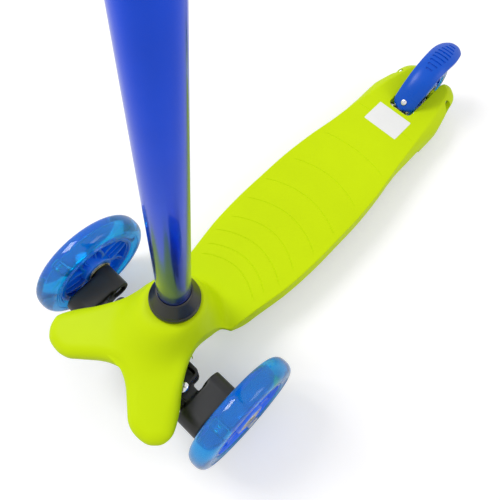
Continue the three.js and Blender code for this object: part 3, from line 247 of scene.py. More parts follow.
def lathe(profile: Sequence[Point2], steps: int = 64) -> Form:
    """Turn a closed profile about Z.

    Args:
        profile: Points of (radius, height) in order; points on the axis become poles.
        steps: The number of steps round.

    Returns:
        The turned form, facing outwards.
    """
    area = sum(a[0] * b[1] - b[0] * a[1] for a, b in zip(profile, [*profile[1:], profile[0]]))
    ordered = list(profile) if area > 0 else list(reversed(profile))
    turns = np.arange(steps) * (2 * math.pi / steps)
    points: list[np.ndarray] = []
    rows: list[list[int]] = []
    count = 0
    for radius, height in ordered:
        if radius <= 1e-9:
            points.append(np.array([[0.0, 0.0, height]]))
            rows.append([count] * steps)
            count += 1
        else:
            ring = np.column_stack((np.cos(turns) * radius, np.sin(turns) * radius, np.full(steps, height)))
            points.append(ring)
            rows.append(list(range(count, count + steps)))
            count += steps
    faces: list[tuple[int, ...]] = []
    for here, above in zip(rows, rows[1:] + rows[:1]):
        if here[0] == here[-1] and above[0] == above[-1]:
            continue
        for i in range(steps):
            k = (i + 1) % steps
            corners = list(dict.fromkeys((here[i], here[k], above[k], above[i])))
            faces.append(tuple(corners))
    return Form(np.vstack(points), faces)


def filleted(corners: Sequence[Point2], radius: float, steps: int = 3, closed: bool = True) -> list[Point2]:
    """Round the corners of a polygon.

    Args:
        corners: The polygon's corners.
        radius: The size of the rounding, made smaller on short sides.
        steps: Steps in each rounded corner.
        closed: Whether the last corner joins the first.

    Returns:
        The rounded outline.
    """
    out: list[Point2] = []
    count = len(corners)
    for i, here in enumerate(corners):
        if not closed and i in (0, count - 1):
            out.append(here)
            continue
        p = np.array(here, float)
        before = np.array(corners[i - 1], float) - p
        after = np.array(corners[(i + 1) % count], float) - p
        lb, la = np.linalg.norm(before), np.linalg.norm(after)
        cosine = float(before @ after / max(lb * la, 1e-9))
        if lb < 1e-6 or la < 1e-6 or cosine < -0.995:
            out.append(here)
            continue
        reach = min(radius, lb * 0.45, la * 0.45)
        start, end = p + before / lb * reach, p + after / la * reach
        for k in range(steps + 1):
            t = k / steps
            q = start * (1 - t) ** 2 + p * 2 * t * (1 - t) + end * t ** 2
            out.append((float(q[0]), float(q[1])))
    return out


def turned(corners: Sequence[Point2], edge: float = 0.5, steps: int = 64) -> Form:
    """Turn a polygon about Z with its corners rounded; corners on the axis stay sharp.

    Args:
        corners: Points of (radius, height).
        edge: The rounding of its corners.
        steps: Steps round.

    Returns:
        The turned form.
    """
    on_axis = [i for i, (radius, _) in enumerate(corners) if radius <= 1e-9]
    if not on_axis:
        return lathe(filleted(corners, edge), steps)
    start = on_axis[-1] if on_axis[-1] != len(corners) - 1 or 0 not in on_axis else 0
    ordered = [*corners[start:], *corners[:start]]
    return lathe(filleted(ordered, edge, closed=False), steps)


def rod(radius: float, low: float, high: float, edge: float = 0.4, steps: int = 48) -> Form:
    """Return a round bar along Z with eased ends."""
    return turned([(0, low), (radius, low), (radius, high), (0, high)], edge, steps)


def drill(radius: float, low: float, high: float, steps: int = 32) -> Form:
    """Return a round bar along Z with sharp ends, to cut a bore with."""
    return rod(radius, low, high, 0, steps)


def tube(inner: float, outer: float, low: float, high: float, edge: float = 0.3, steps: int = 64) -> Form:
    """Return a round tube along Z with eased ends."""
    return turned([(inner, low), (outer, low), (outer, high), (inner, high)], edge, steps)


def inset(outline: np.ndarray, amount: "float | np.ndarray") -> np.ndarray:
    """Move a closed outline inwards, square to itself.

    Args:
        outline: Points in order, the inside on the left.
        amount: How far, one value or one for each point.

    Returns:
        The moved points.
    """
    before, after = np.roll(outline, 1, axis=0), np.roll(outline, -1, axis=0)
    a = outline - before
    b = after - outline
    a /= np.maximum(np.linalg.norm(a, axis=1, keepdims=True), 1e-9)
    b /= np.maximum(np.linalg.norm(b, axis=1, keepdims=True), 1e-9)
    along = a + b
    along /= np.maximum(np.linalg.norm(along, axis=1, keepdims=True), 1e-9)
    half_turn = np.maximum((a * along).sum(axis=1, keepdims=True), 0.5)
    square = np.column_stack((-along[:, 1], along[:, 0]))
    return outline + square * np.reshape(amount, (-1, 1)) / half_turn


def ccw(outline: Sequence[Point2]) -> np.ndarray:
    """Turn an outline so that its inside is on the left.

    Args:
        outline: Its corners in order, either way round.

    Returns:
        The corners as an array.
    """
    points = np.array(outline, float)
    nxt = np.roll(points, -1, axis=0)
    area = (points[:, 0] * nxt[:, 1] - nxt[:, 0] * points[:, 1]).sum()
    return points if area > 0 else points[::-1].copy()


def prism(outline: Sequence[Point2], low: float, high: float, edge: float = 0.6, steps: int = 3) -> Form:
    """Stand a flat outline up along Z with rounded rims.

    Args:
        outline: Points of the outline.
        low: The bottom's height.
        high: The top's height.
        edge: The rounding of both rims.
        steps: Steps in each rounding.

    Returns:
        The form.
    """
    base = ccw(outline)
    rounds = [k / steps * math.pi / 2 for k in range(steps + 1)] if edge > 0 else [math.pi / 2]
    rings = [(edge * (1 - math.sin(a)), low + edge * (1 - math.cos(a))) for a in rounds]
    rings += [(edge * (1 - math.sin(a)), high - edge * (1 - math.cos(a))) for a in reversed(rounds)]
    points = [np.column_stack((inset(base, d), np.full(len(base), z))) for d, z in rings]
    return skin(points)


def skin(rings: Sequence[np.ndarray], caps: bool = True) -> Form:
    """Join rings of as many points each into a form.

    Args:
        rings: Arrays of points; seen from the last ring, each runs anticlockwise.
        caps: Whether the two ends are closed.

    Returns:
        The form.
    """
    count, last = len(rings[0]), (len(rings) - 1) * len(rings[0])
    faces: list[tuple[int, ...]] = []
    for a in range(0, last, count):
        b = a + count
        faces += [(a + i, a + (i + 1) % count, b + (i + 1) % count, b + i) for i in range(count)]
    if caps:
        faces.append(tuple(reversed(range(count))))
        faces.append(tuple(range(last, last + count)))
    return Form(np.vstack(rings), faces)


def outward(form: Form) -> Form:
    """Turn a closed form's faces outwards, whichever way they were wound.

    Args:
        form: The form.

    Returns:
        The form itself, or a copy with its faces turned over.
    """
    volume = 0.0
    points = form.points
    for face in form.faces:
        first = points[face[0]]
        for k in range(1, len(face) - 1):
            volume += float(np.dot(first, np.cross(points[face[k]], points[face[k + 1]])))
    return form if volume > 0 else Form(points, [tuple(reversed(face)) for face in form.faces])


def block(low: Sequence[float], high: Sequence[float], edge: float = 0.0, corner: float = 0.0) -> Form:
    """Return a bar between two corners, with its rims and its upright edges eased if asked."""
    flat = rectangle(low[0], high[0], low[1], high[1])
    return prism(filleted(flat, corner) if corner > 0 else flat, low[2], high[2], edge)


def wire(path: np.ndarray, radius: float, sides: int = 12) -> Form:
    """Run a round wire along a path.

    Args:
        path: The points of its middle.
        radius: The wire's radius.
        sides: Sides of its section.

    Returns:
        The form, with flat ends.
    """
    ahead = np.gradient(path, axis=0)
    ahead /= np.linalg.norm(ahead, axis=1, keepdims=True)
    out = np.cross(ahead[0], (0.0, 0.0, 1.0))
    out /= np.linalg.norm(out)
    turns = np.arange(sides) * (2 * math.pi / sides)
    rings = []
    for place, way in zip(path, ahead):
        out = out - way * (out @ way)
        out /= np.linalg.norm(out)
        side = np.cross(way, out)
        rings.append(place + radius * (np.outer(np.cos(turns), out) + np.outer(np.sin(turns), side)))
    return skin(rings)


def coil(radius: float, wire_width: float, low: float, high: float, curls: int) -> Form:
    """Wind a spring along Z with a straight end one wire long at each end.

    Args:
        radius: From the axis to the wire's middle.
        wire_width: The wire's diameter.
        low: The bottom of the spring.
        high: Its top.
        curls: The number of turns.

    Returns:
        The spring.
    """
    steps = 28 * curls
    share = np.linspace(0, 1, steps + 1)
    angle = share * curls * 2 * math.pi
    height = low + wire_width / 2 + share * (high - low - wire_width)
    path = np.column_stack((radius * np.cos(angle), radius * np.sin(angle), height))
    start = path[0] + np.array((0, -wire_width, 0))
    end = path[-1] + np.array((0, wire_width, 0))
    return wire(np.vstack((start, path, end)), wire_width / 2)


def spline(points: Sequence[Point2], per_span: int, power: float = 0.5,
           drawn_out: bool = True) -> np.ndarray:
    """Run a smooth line through points.

    Args:
        points: The points it passes through.
        per_span: Steps between two points.
        power: 0.5 to keep it close to its points, 0 to give each span the same weight.
        drawn_out: Whether its ends run on straight, or else its end points count twice.

    Returns:
        The line's points.
    """
    given = np.array(points, float)
    first, last = given[0], given[-1]
    if drawn_out:
        first, last = 2 * given[0] - given[1], 2 * given[-1] - given[-2]
    padded = np.vstack((first, given, last))
    out = []
    for i in range(1, len(padded) - 2):
        p0, p1, p2, p3 = padded[i - 1:i + 3]
        knots = [0.0]
        for a, b in ((p0, p1), (p1, p2), (p2, p3)):
            knots.append(knots[-1] + max(np.linalg.norm(b - a), 1e-6) ** power)
        t0, t1, t2, t3 = knots
        for t in np.linspace(t1, t2, per_span, endpoint=False):
            a1 = (t1 - t) / (t1 - t0) * p0 + (t - t0) / (t1 - t0) * p1
            a2 = (t2 - t) / (t2 - t1) * p1 + (t - t1) / (t2 - t1) * p2
            a3 = (t3 - t) / (t3 - t2) * p2 + (t - t2) / (t3 - t2) * p3
            b1 = (t2 - t) / (t2 - t0) * a1 + (t - t0) / (t2 - t0) * a2
            b2 = (t3 - t) / (t3 - t1) * a2 + (t - t1) / (t3 - t1) * a3
            out.append((t2 - t) / (t2 - t1) * b1 + (t - t1) / (t2 - t1) * b2)
    return np.array([*out, given[-1]])


def resampled(line: np.ndarray, step: float, closed: bool = False) -> np.ndarray:
    """Space a line's points evenly.

    Args:
        line: The points.
        step: The wanted distance between points.
        closed: Whether the last point joins the first.

    Returns:
        Points at equal distances.
    """
    full = np.vstack((line, line[:1])) if closed else line
    lengths = np.concatenate(([0.0], np.cumsum(np.linalg.norm(np.diff(full, axis=0), axis=1))))
    count = max(int(round(lengths[-1] / step)), 2)
    places = np.linspace(0, lengths[-1], count + 1)
    even = np.column_stack([np.interp(places, lengths, full[:, k]) for k in range(full.shape[1])])
    return even[:-1] if closed else even


def crossings_at(ring: np.ndarray, y: float) -> list[float]:
    """Return where a closed ring crosses a line of constant y.

    Args:
        ring: The ring's points.
        y: The line.

    Returns:
        The places along X.
    """
    a, b = ring, np.roll(ring, -1, axis=0)
    hit = (a[:, 1] > y) != (b[:, 1] > y)
    a, b = a[hit], b[hit]
    return list(a[:, 0] + (y - a[:, 1]) / (b[:, 1] - a[:, 1]) * (b[:, 0] - a[:, 0]))


def filled(given: np.ndarray, edges: Sequence[tuple[int, int]], count: int
           ) -> tuple[np.ndarray, list[list[int]], list[tuple[int, ...]], dict[int, int]]:
    """Fill an outline with triangles that keep given points and lines.

    Args:
        given: Points in (x, y), the outline's own first.
        edges: The lines to keep, as pairs of points.
        count: The number of points in the outline.

    Returns:
        The points, the given points that each stands for, the triangles, and each outline point's place
        in the new points.
    """
    loop = [list(range(count))]
    found = delaunay_2d_cdt([Vector(p) for p in given.tolist()], edges, loop, 1, 1e-5)
    match = {origin: k for k, origins in enumerate(found[3]) for origin in origins if origin < count}
    return np.array([tuple(p) for p in found[0]]), found[3], found[2], match


def smooth_step(low: float, high: float, value: "float | np.ndarray") -> "float | np.ndarray":
    """Return 0 below a value and 1 above another, with a smooth change between."""
    share = np.clip((value - low) / (high - low), 0.0, 1.0)
    return share * share * (3 - 2 * share)


def added(name: str, data: bpy.types.ID) -> bpy.types.Object:
    """Make an object of a mesh, a light or a camera and put it into the scene."""
    made = bpy.data.objects.new(name, data)
    bpy.context.scene.collection.objects.link(made)
    return made


def combined(base: Form, join: Join, *tools: Form) -> Form:
    """Combine closed forms.

    Args:
        base: The first form.
        join: How the tools act on it.
        tools: The other forms.

    Returns:
        The result.
    """
    holder = added("base", base.mesh("base"))
    temporary = [holder]
    for tool in tools:
        temporary.append(added("tool", tool.mesh("tool")))
        step = holder.modifiers.new("join", "BOOLEAN")
        step.operation = join.value
        step.solver = "MANIFOLD"
        step.object = temporary[-1]
    return taken(holder, temporary)


def taken(holder: bpy.types.Object, temporary: Sequence[bpy.types.Object]) -> Form:
    """Read an object's mesh with its modifiers and delete the temporary objects.

    Args:
        holder: The object to read.
        temporary: What is deleted afterwards.

    Returns:
        The form that it had.
    """
    bpy.context.view_layer.update()
    graph = bpy.context.evaluated_depsgraph_get()
    seen = holder.evaluated_get(graph)
    mesh = seen.to_mesh()
    points = np.empty(len(mesh.vertices) * 3)
    mesh.vertices.foreach_get("co", points)
    faces = [tuple(face.vertices) for face in mesh.polygons]
    seen.to_mesh_clear()
    for other in temporary:
        data = other.data
        bpy.data.objects.remove(other)
        bpy.data.meshes.remove(data)
    return Form(points.reshape(-1, 3), faces)


def melted(form: Form, voxel: float, rounds: int, keep: float = 1.0) -> Form:
    """Fuse overlapping closed forms into one moulded skin with soft edges.

    Args:
        form: The overlapping forms.
        voxel: The size of the new skin's faces.
        rounds: How often it is smoothed.
        keep: The share of faces kept at the end.

    Returns:
        The fused form.
    """
    holder = added("melt", form.mesh("melt"))
    remesh = holder.modifiers.new("remesh", "REMESH")
    remesh.mode = "VOXEL"
    remesh.voxel_size = voxel
    soften = holder.modifiers.new("soften", "SMOOTH")
    soften.factor = 0.5
    soften.iterations = rounds
    if keep < 1:
        fewer = holder.modifiers.new("fewer", "DECIMATE")
        fewer.ratio = keep
    return taken(holder, [holder])


# Finishes


def linear(value: float) -> float:
    """Turn one channel of a screen colour into linear light."""
    return value / 12.92 if value <= 0.04045 else ((value + 0.055) / 1.055) ** 2.4


def shade(color: Color, factor: float) -> tuple[float, float, float, float]:
    """Return a linear colour, lightened or darkened, with full alpha."""
    return (*[min(linear(c) * factor, 1.0) for c in color], 1.0)


@dataclass(frozen=True)
class Finish:
    """A moulded or painted surface with cloudy colour, uneven gloss and a fine grain.

    Colours are given as they look on a screen, 0 to 1. Sizes are in metres.
    """

    slot: str
    color: Color
    roughness: float = 0.5
    metallic: float = 0.0
    coat: float = 0.0
    specular: float = 0.5
    cloud_size: float = 0.03
    cloud: float = 0.06
    grain_size: float = 0.0008
    grain_depth: float = 0.00003
    gloss_spread: float = 0.05

    @property
    def title(self) -> str:
        """Return the material's name."""
        return type(self).__name__ + "_" + self.slot

    def material(self) -> bpy.types.Material:
        """Return the material, made on the first call."""
        found = bpy.data.materials.get(self.title)
        if found:
            return found
        made = bpy.data.materials.new(self.title)
        made.use_nodes = True
        self.paint(Graph(made))
        return made

    def paint(self, graph: "Graph") -> None:
        """Build the surface.

        Args:
            graph: The material's node graph.
        """
        graph.set({"Metallic": self.metallic, "Coat Weight": self.coat, "Coat Roughness": 0.04,
                   "Specular IOR Level": self.specular})
        cloud = graph.noise(1 / self.cloud_size, detail=3)
        low, high = shade(self.color, 1 - self.cloud), shade(self.color, 1 + self.cloud)
        graph.link(graph.mix(cloud, low, high), graph.shader.inputs["Base Color"])
        patches = graph.noise(0.4 / self.cloud_size, detail=4)
        least, most = self.roughness - self.gloss_spread, self.roughness + self.gloss_spread
        graph.link(graph.spread(patches, least, most), graph.shader.inputs["Roughness"])
        grain = self.grain(graph)
        if grain is not None:
            graph.bump(grain, self.grain_depth)

    def grain(self, graph: "Graph") -> Optional[bpy.types.NodeSocket]:
        """Return the height of the fine grain, or None.

        Args:
            graph: The material's node graph.

        Returns:
            A socket with the height, 0 to 1.
        """
        return graph.noise(1 / self.grain_size, detail=2)


class Graph:
    """The node graph of one material, with short ways to add to it."""

    noise_range: Point2 = (0.3, 0.7)

    def __init__(self, material: bpy.types.Material) -> None:
        """Start from the material's own shader.

        Args:
            material: A material that uses nodes.
        """
        self.nodes = material.node_tree.nodes
        self.links = material.node_tree.links
        self.shader = self.nodes["Principled BSDF"]
        self.place = self.nodes.new("ShaderNodeTexCoord").outputs["Object"]

    def set(self, values: dict[str, "float | Sequence[float]"]) -> None:
        """Set some of the shader's inputs by their names."""
        for name, value in values.items():
            self.shader.inputs[name].default_value = value

    def link(self, source: bpy.types.NodeSocket, target: bpy.types.NodeSocket) -> None:
        """Join two sockets."""
        self.links.new(source, target)

    def noise(self, scale: float, detail: float = 2.0,
              stretch: Optional[Color] = None) -> bpy.types.NodeSocket:
        """Add cloudy noise.

        Args:
            scale: Clouds in a metre.
            detail: Its finer octaves.
            stretch: Factors along the axes, or None.

        Returns:
            The noise's value.
        """
        node = self.nodes.new("ShaderNodeTexNoise")
        node.inputs["Scale"].default_value = scale
        node.inputs["Detail"].default_value = detail
        place = self.place
        if stretch:
            mapping = self.nodes.new("ShaderNodeMapping")
            mapping.inputs["Scale"].default_value = stretch
            self.link(place, mapping.inputs["Vector"])
            place = mapping.outputs["Vector"]
        self.link(place, node.inputs["Vector"])
        return node.outputs["Fac"]

    def cells(self, scale: float) -> bpy.types.NodeSocket:
        """Add a field of small cells.

        Args:
            scale: Cells along a metre.

        Returns:
            The distance from the nearest cell's point.
        """
        node = self.nodes.new("ShaderNodeTexVoronoi")
        node.inputs["Scale"].default_value = scale
        self.link(self.place, node.inputs["Vector"])
        return node.outputs["Distance"]

    def mix(self, share: bpy.types.NodeSocket, low: Sequence[float], high: Sequence[float]
            ) -> bpy.types.NodeSocket:
        """Blend two colours over a noise's usual range.

        Args:
            share: What chooses between them.
            low: The colour at the range's start.
            high: The colour at its end.

        Returns:
            The colour.
        """
        node = self.nodes.new("ShaderNodeValToRGB")
        for stop, place, color in zip(node.color_ramp.elements, self.noise_range, (low, high)):
            stop.position, stop.color = place, color
        self.link(share, node.inputs["Fac"])
        return node.outputs["Color"]

    def spread(self, value: bpy.types.NodeSocket, low: float, high: float) -> bpy.types.NodeSocket:
        """Map a noise's usual range to another range.

        Args:
            value: The value to map.
            low: What the range's start becomes.
            high: What its end becomes.

        Returns:
            The mapped value.
        """
        node = self.nodes.new("ShaderNodeMapRange")
        limits = dict(zip(("From Min", "From Max", "To Min", "To Max"), (*self.noise_range, low, high)))
        for name, limit in limits.items():
            node.inputs[name].default_value = limit
        self.link(value, node.inputs["Value"])
        return node.outputs["Result"]

    def math(self, kind: str, first: bpy.types.NodeSocket, second: "bpy.types.NodeSocket | float"
             ) -> bpy.types.NodeSocket:
        """Combine two values.

        Args:
            kind: The operation's name.
            first: The first value.
            second: The second value or a number.

        Returns:
            The result.
        """
        node = self.nodes.new("ShaderNodeMath")
        node.operation = kind
        self.link(first, node.inputs[0])
        if isinstance(second, (int, float)):
            node.inputs[1].default_value = second
        else:
            self.link(second, node.inputs[1])
        return node.outputs["Value"]

    def attribute(self, name: str) -> bpy.types.NodeSocket:
        """Return a value that the mesh holds at its points."""
        node = self.nodes.new("ShaderNodeAttribute")
        node.attribute_name = name
        return node.outputs["Fac"]

    def bump(self, height: bpy.types.NodeSocket, depth: float) -> None:
        """Press a height into the surface.

        Args:
            height: The height, 0 to 1.
            depth: The depth of a whole step, in metres.
        """
        node = self.nodes.new("ShaderNodeBump")
        node.inputs["Distance"].default_value = depth
        node.inputs["Strength"].default_value = 1.0
        self.link(height, node.inputs["Height"])
        self.link(node.outputs["Normal"], self.shader.inputs["Normal"])


@dataclass(frozen=True)
class DeckPlastic(Finish):
    """Satin moulded plastic with a leathery stipple where the mesh asks for it."""

    stipple_size: float = 0.0014

    def grain(self, graph: Graph) -> Optional[bpy.types.NodeSocket]:
        """Return a fine grain, with coarse cells added in the stippled zone.

        Args:
            graph: The material's node graph.

        Returns:
            The height.
        """
        fine = graph.math("MULTIPLY", graph.noise(1 / self.grain_size, detail=2), 0.25)
        warts = graph.math("MULTIPLY", graph.cells(1 / self.stipple_size), graph.attribute("grain"))
        return graph.math("ADD", fine, graph.math("MULTIPLY", warts, 1.6))


@dataclass(frozen=True)
class FlakePaint(Finish):
    """Metallic paint: a coloured base with fine flakes under a clear coat."""

    def grain(self, graph: Graph) -> Optional[bpy.types.NodeSocket]:
        """Return the height of the flakes."""
        return graph.cells(1 / self.grain_size)


@dataclass(frozen=True)
class DrawnSteel(Finish):
    """Plated or drawn metal with fine lines along its length."""

    stretch: Color = (1.0, 1.0, 0.06)

    def grain(self, graph: Graph) -> Optional[bpy.types.NodeSocket]:
        """Return the height of the drawn lines."""
        return graph.noise(1 / self.grain_size, detail=3, stretch=self.stretch)


@dataclass(frozen=True)
class ClearRubber(Finish):
    """Clear cast rubber: see-through, tinted, with cloudy depth and a wet gloss."""

    clearness: float = 0.75
    refraction: float = 1.45

    def paint(self, graph: Graph) -> None:
        """Build the surface.

        Args:
            graph: The material's node graph.
        """
        Finish.paint(self, graph)
        graph.set({"Transmission Weight": self.clearness, "IOR": self.refraction})


class Palette(Enum):
    """The finishes of the scooter's pieces."""

    DECK = DeckPlastic("deck_lime", (0.79, 0.89, 0.0), 0.5, specular=0.12, cloud=0.03, cloud_size=0.08,
                       grain_size=0.0005, grain_depth=0.00005)
    COLUMN = FlakePaint("column_blue", (0.05, 0.30, 0.88), 0.2, metallic=0.9, coat=0.4, cloud=0.05,
                        grain_size=0.0003, grain_depth=0.000006)
    SOFT = Finish("soft_black", (0.065, 0.065, 0.065), 0.42, coat=0.15, grain_size=0.0006,
                  grain_depth=0.00003)
    FRAME = Finish("frame_black", (0.085, 0.085, 0.085), 0.4, cloud=0.25, cloud_size=0.012,
                   grain_size=0.0007, grain_depth=0.00005)
    GRIP = Finish("grip_rubber", (0.12, 0.12, 0.125), 0.7, grain_size=0.0005, grain_depth=0.00006)
    CHROME = DrawnSteel("chrome_tube", (0.86, 0.87, 0.89), 0.1, metallic=1.0, cloud=0.03,
                        grain_size=0.0008, grain_depth=0.000003, gloss_spread=0.03)
    FENDER = Finish("fender_blue", (0.0, 0.32, 0.78), 0.3, specular=0.25, cloud=0.05, grain_size=0.0007,
                    grain_depth=0.00003)
    SCREW = DrawnSteel("bright_screw", (0.86, 0.86, 0.87), 0.16, metallic=1.0, grain_size=0.0005,
                       grain_depth=0.000004)
    BRASS = DrawnSteel("yellow_zinc", (0.83, 0.78, 0.56), 0.26, metallic=1.0, cloud=0.15, cloud_size=0.004,
                       grain_size=0.0005, grain_depth=0.000005)
    TYRE = ClearRubber("tyre_blue", (0.04, 0.70, 1.0), 0.03, coat=0.15, cloud=0.05, cloud_size=0.02,
                       grain_size=0.004, grain_depth=0.00001, gloss_spread=0.02, clearness=0.8,
                       refraction=1.4)
    CORE = Finish("core_blue", (0.0, 0.46, 1.0), 0.22, coat=0.3, cloud=0.06, grain_size=0.001,
                  grain_depth=0.00002)
    LIGHTS = ClearRubber("light_ring", (0.80, 0.90, 1.0), 0.05, cloud=0.05, cloud_size=0.006,
                         grain_size=0.002, grain_depth=0.00001, gloss_spread=0.02)
    ZINC = DrawnSteel("zinc_steel", (0.78, 0.78, 0.76), 0.26, metallic=1.0, cloud=0.12, cloud_size=0.006,
                      grain_size=0.0005, grain_depth=0.000005)
    LABEL = Finish("deck_lime", (0.93, 0.93, 0.92), 0.45, cloud=0.02, grain_size=0.0004, grain_depth=0.00001)


def piece(name: str, form: Form, finish: Palette, body: Body, replaces: Sequence[str] = ()
          ) -> bpy.types.Object:
    """Make a piece, dress it and let it ride on its body.

    Args:
        name: The piece's name.
        form: Its shape in the drawing's frame.
        finish: Its finish.
        body: The body that carries it.
        replaces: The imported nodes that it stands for.

    Returns:
        The object.
    """
    mesh = form.mesh(name, MM, SHIFT_Y)
    mesh.polygons.foreach_set("use_smooth", [True] * len(mesh.polygons))
    mesh.set_sharp_from_angle(angle=SHARP_ANGLE)
    made = added(name, mesh)
    mesh.materials.append(finish.value.material())
    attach(made, body.value)
    if replaces:
        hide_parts(*replaces)
    log.info("%s: %d faces on %s", name, len(mesh.polygons), body.value)
    return made


# Small hardware, standing along Z with the seat of its head at a height


def hexagon(radius: float) -> list[Point2]:
    """Return a hexagon's corners round the origin."""
    return [(radius * math.cos(k * math.pi / 3), radius * math.sin(k * math.pi / 3)) for k in range(6)]


@dataclass
class Bolt:
    """A hexagon head bolt or a pan head screw with a cross slot."""

    diameter: float
    end: float
    seat: float
    head: float
    head_height: float

    def hexagon(self) -> Form:
        """Return the bolt with a hexagon head whose top rim is eased."""
        radius = self.head / 2
        head = prism(hexagon(radius), self.seat, self.seat + self.head_height, self.head_height * 0.1)
        crown = lathe([(0, self.seat - self.head_height), (radius * 1.2, self.seat - self.head_height),
                       (radius * 1.2, self.seat + self.head_height * 0.72),
                       (radius * 0.8, self.seat + self.head_height * 1.02),
                       (0, self.seat + self.head_height * 1.02)], 48)
        head = combined(head, Join.COMMON, crown)
        return combined(head, Join.UNION, rod(self.diameter / 2, self.end, self.seat + self.head_height / 2))

    def screw(self) -> Form:
        """Return the screw with a domed head and a cross slot."""
        radius = self.head / 2
        top = self.seat + self.head_height
        dome = [(radius * math.cos(a), self.seat + self.head_height * (0.35 + 0.65 * math.sin(a)))
                for a in np.linspace(0, math.pi / 2 * 0.98, 8)]
        body = lathe([(0, self.end), (self.diameter / 2, self.end), (self.diameter / 2, self.seat),
                      (radius, self.seat), *dome, (0, top)], 40)
        arm, half = radius * 0.62, radius * 0.13
        bar = block((-arm, -half, top - self.head_height * 0.5), (arm, half, top + 1))
        bars = [bar.moved(Matrix.Rotation(turn, 4, "Z")) for turn in (0.4, 0.4 + math.pi / 2)]
        return combined(body, Join.CUT, *bars)


def nut(hole: float, low: float, height: float, across: float) -> Form:
    """Return a hexagon nut.

    Args:
        hole: The hole's diameter.
        low: The height of its lower face.
        height: Its thickness.
        across: Its size across the corners.

    Returns:
        The nut.
    """
    radius = across / 2
    body = prism(hexagon(radius), low, low + height, height * 0.06)
    bore = drill(hole / 2, low - height, low + 2 * height, 48)
    return combined(body, Join.CUT, bore)


# The deck


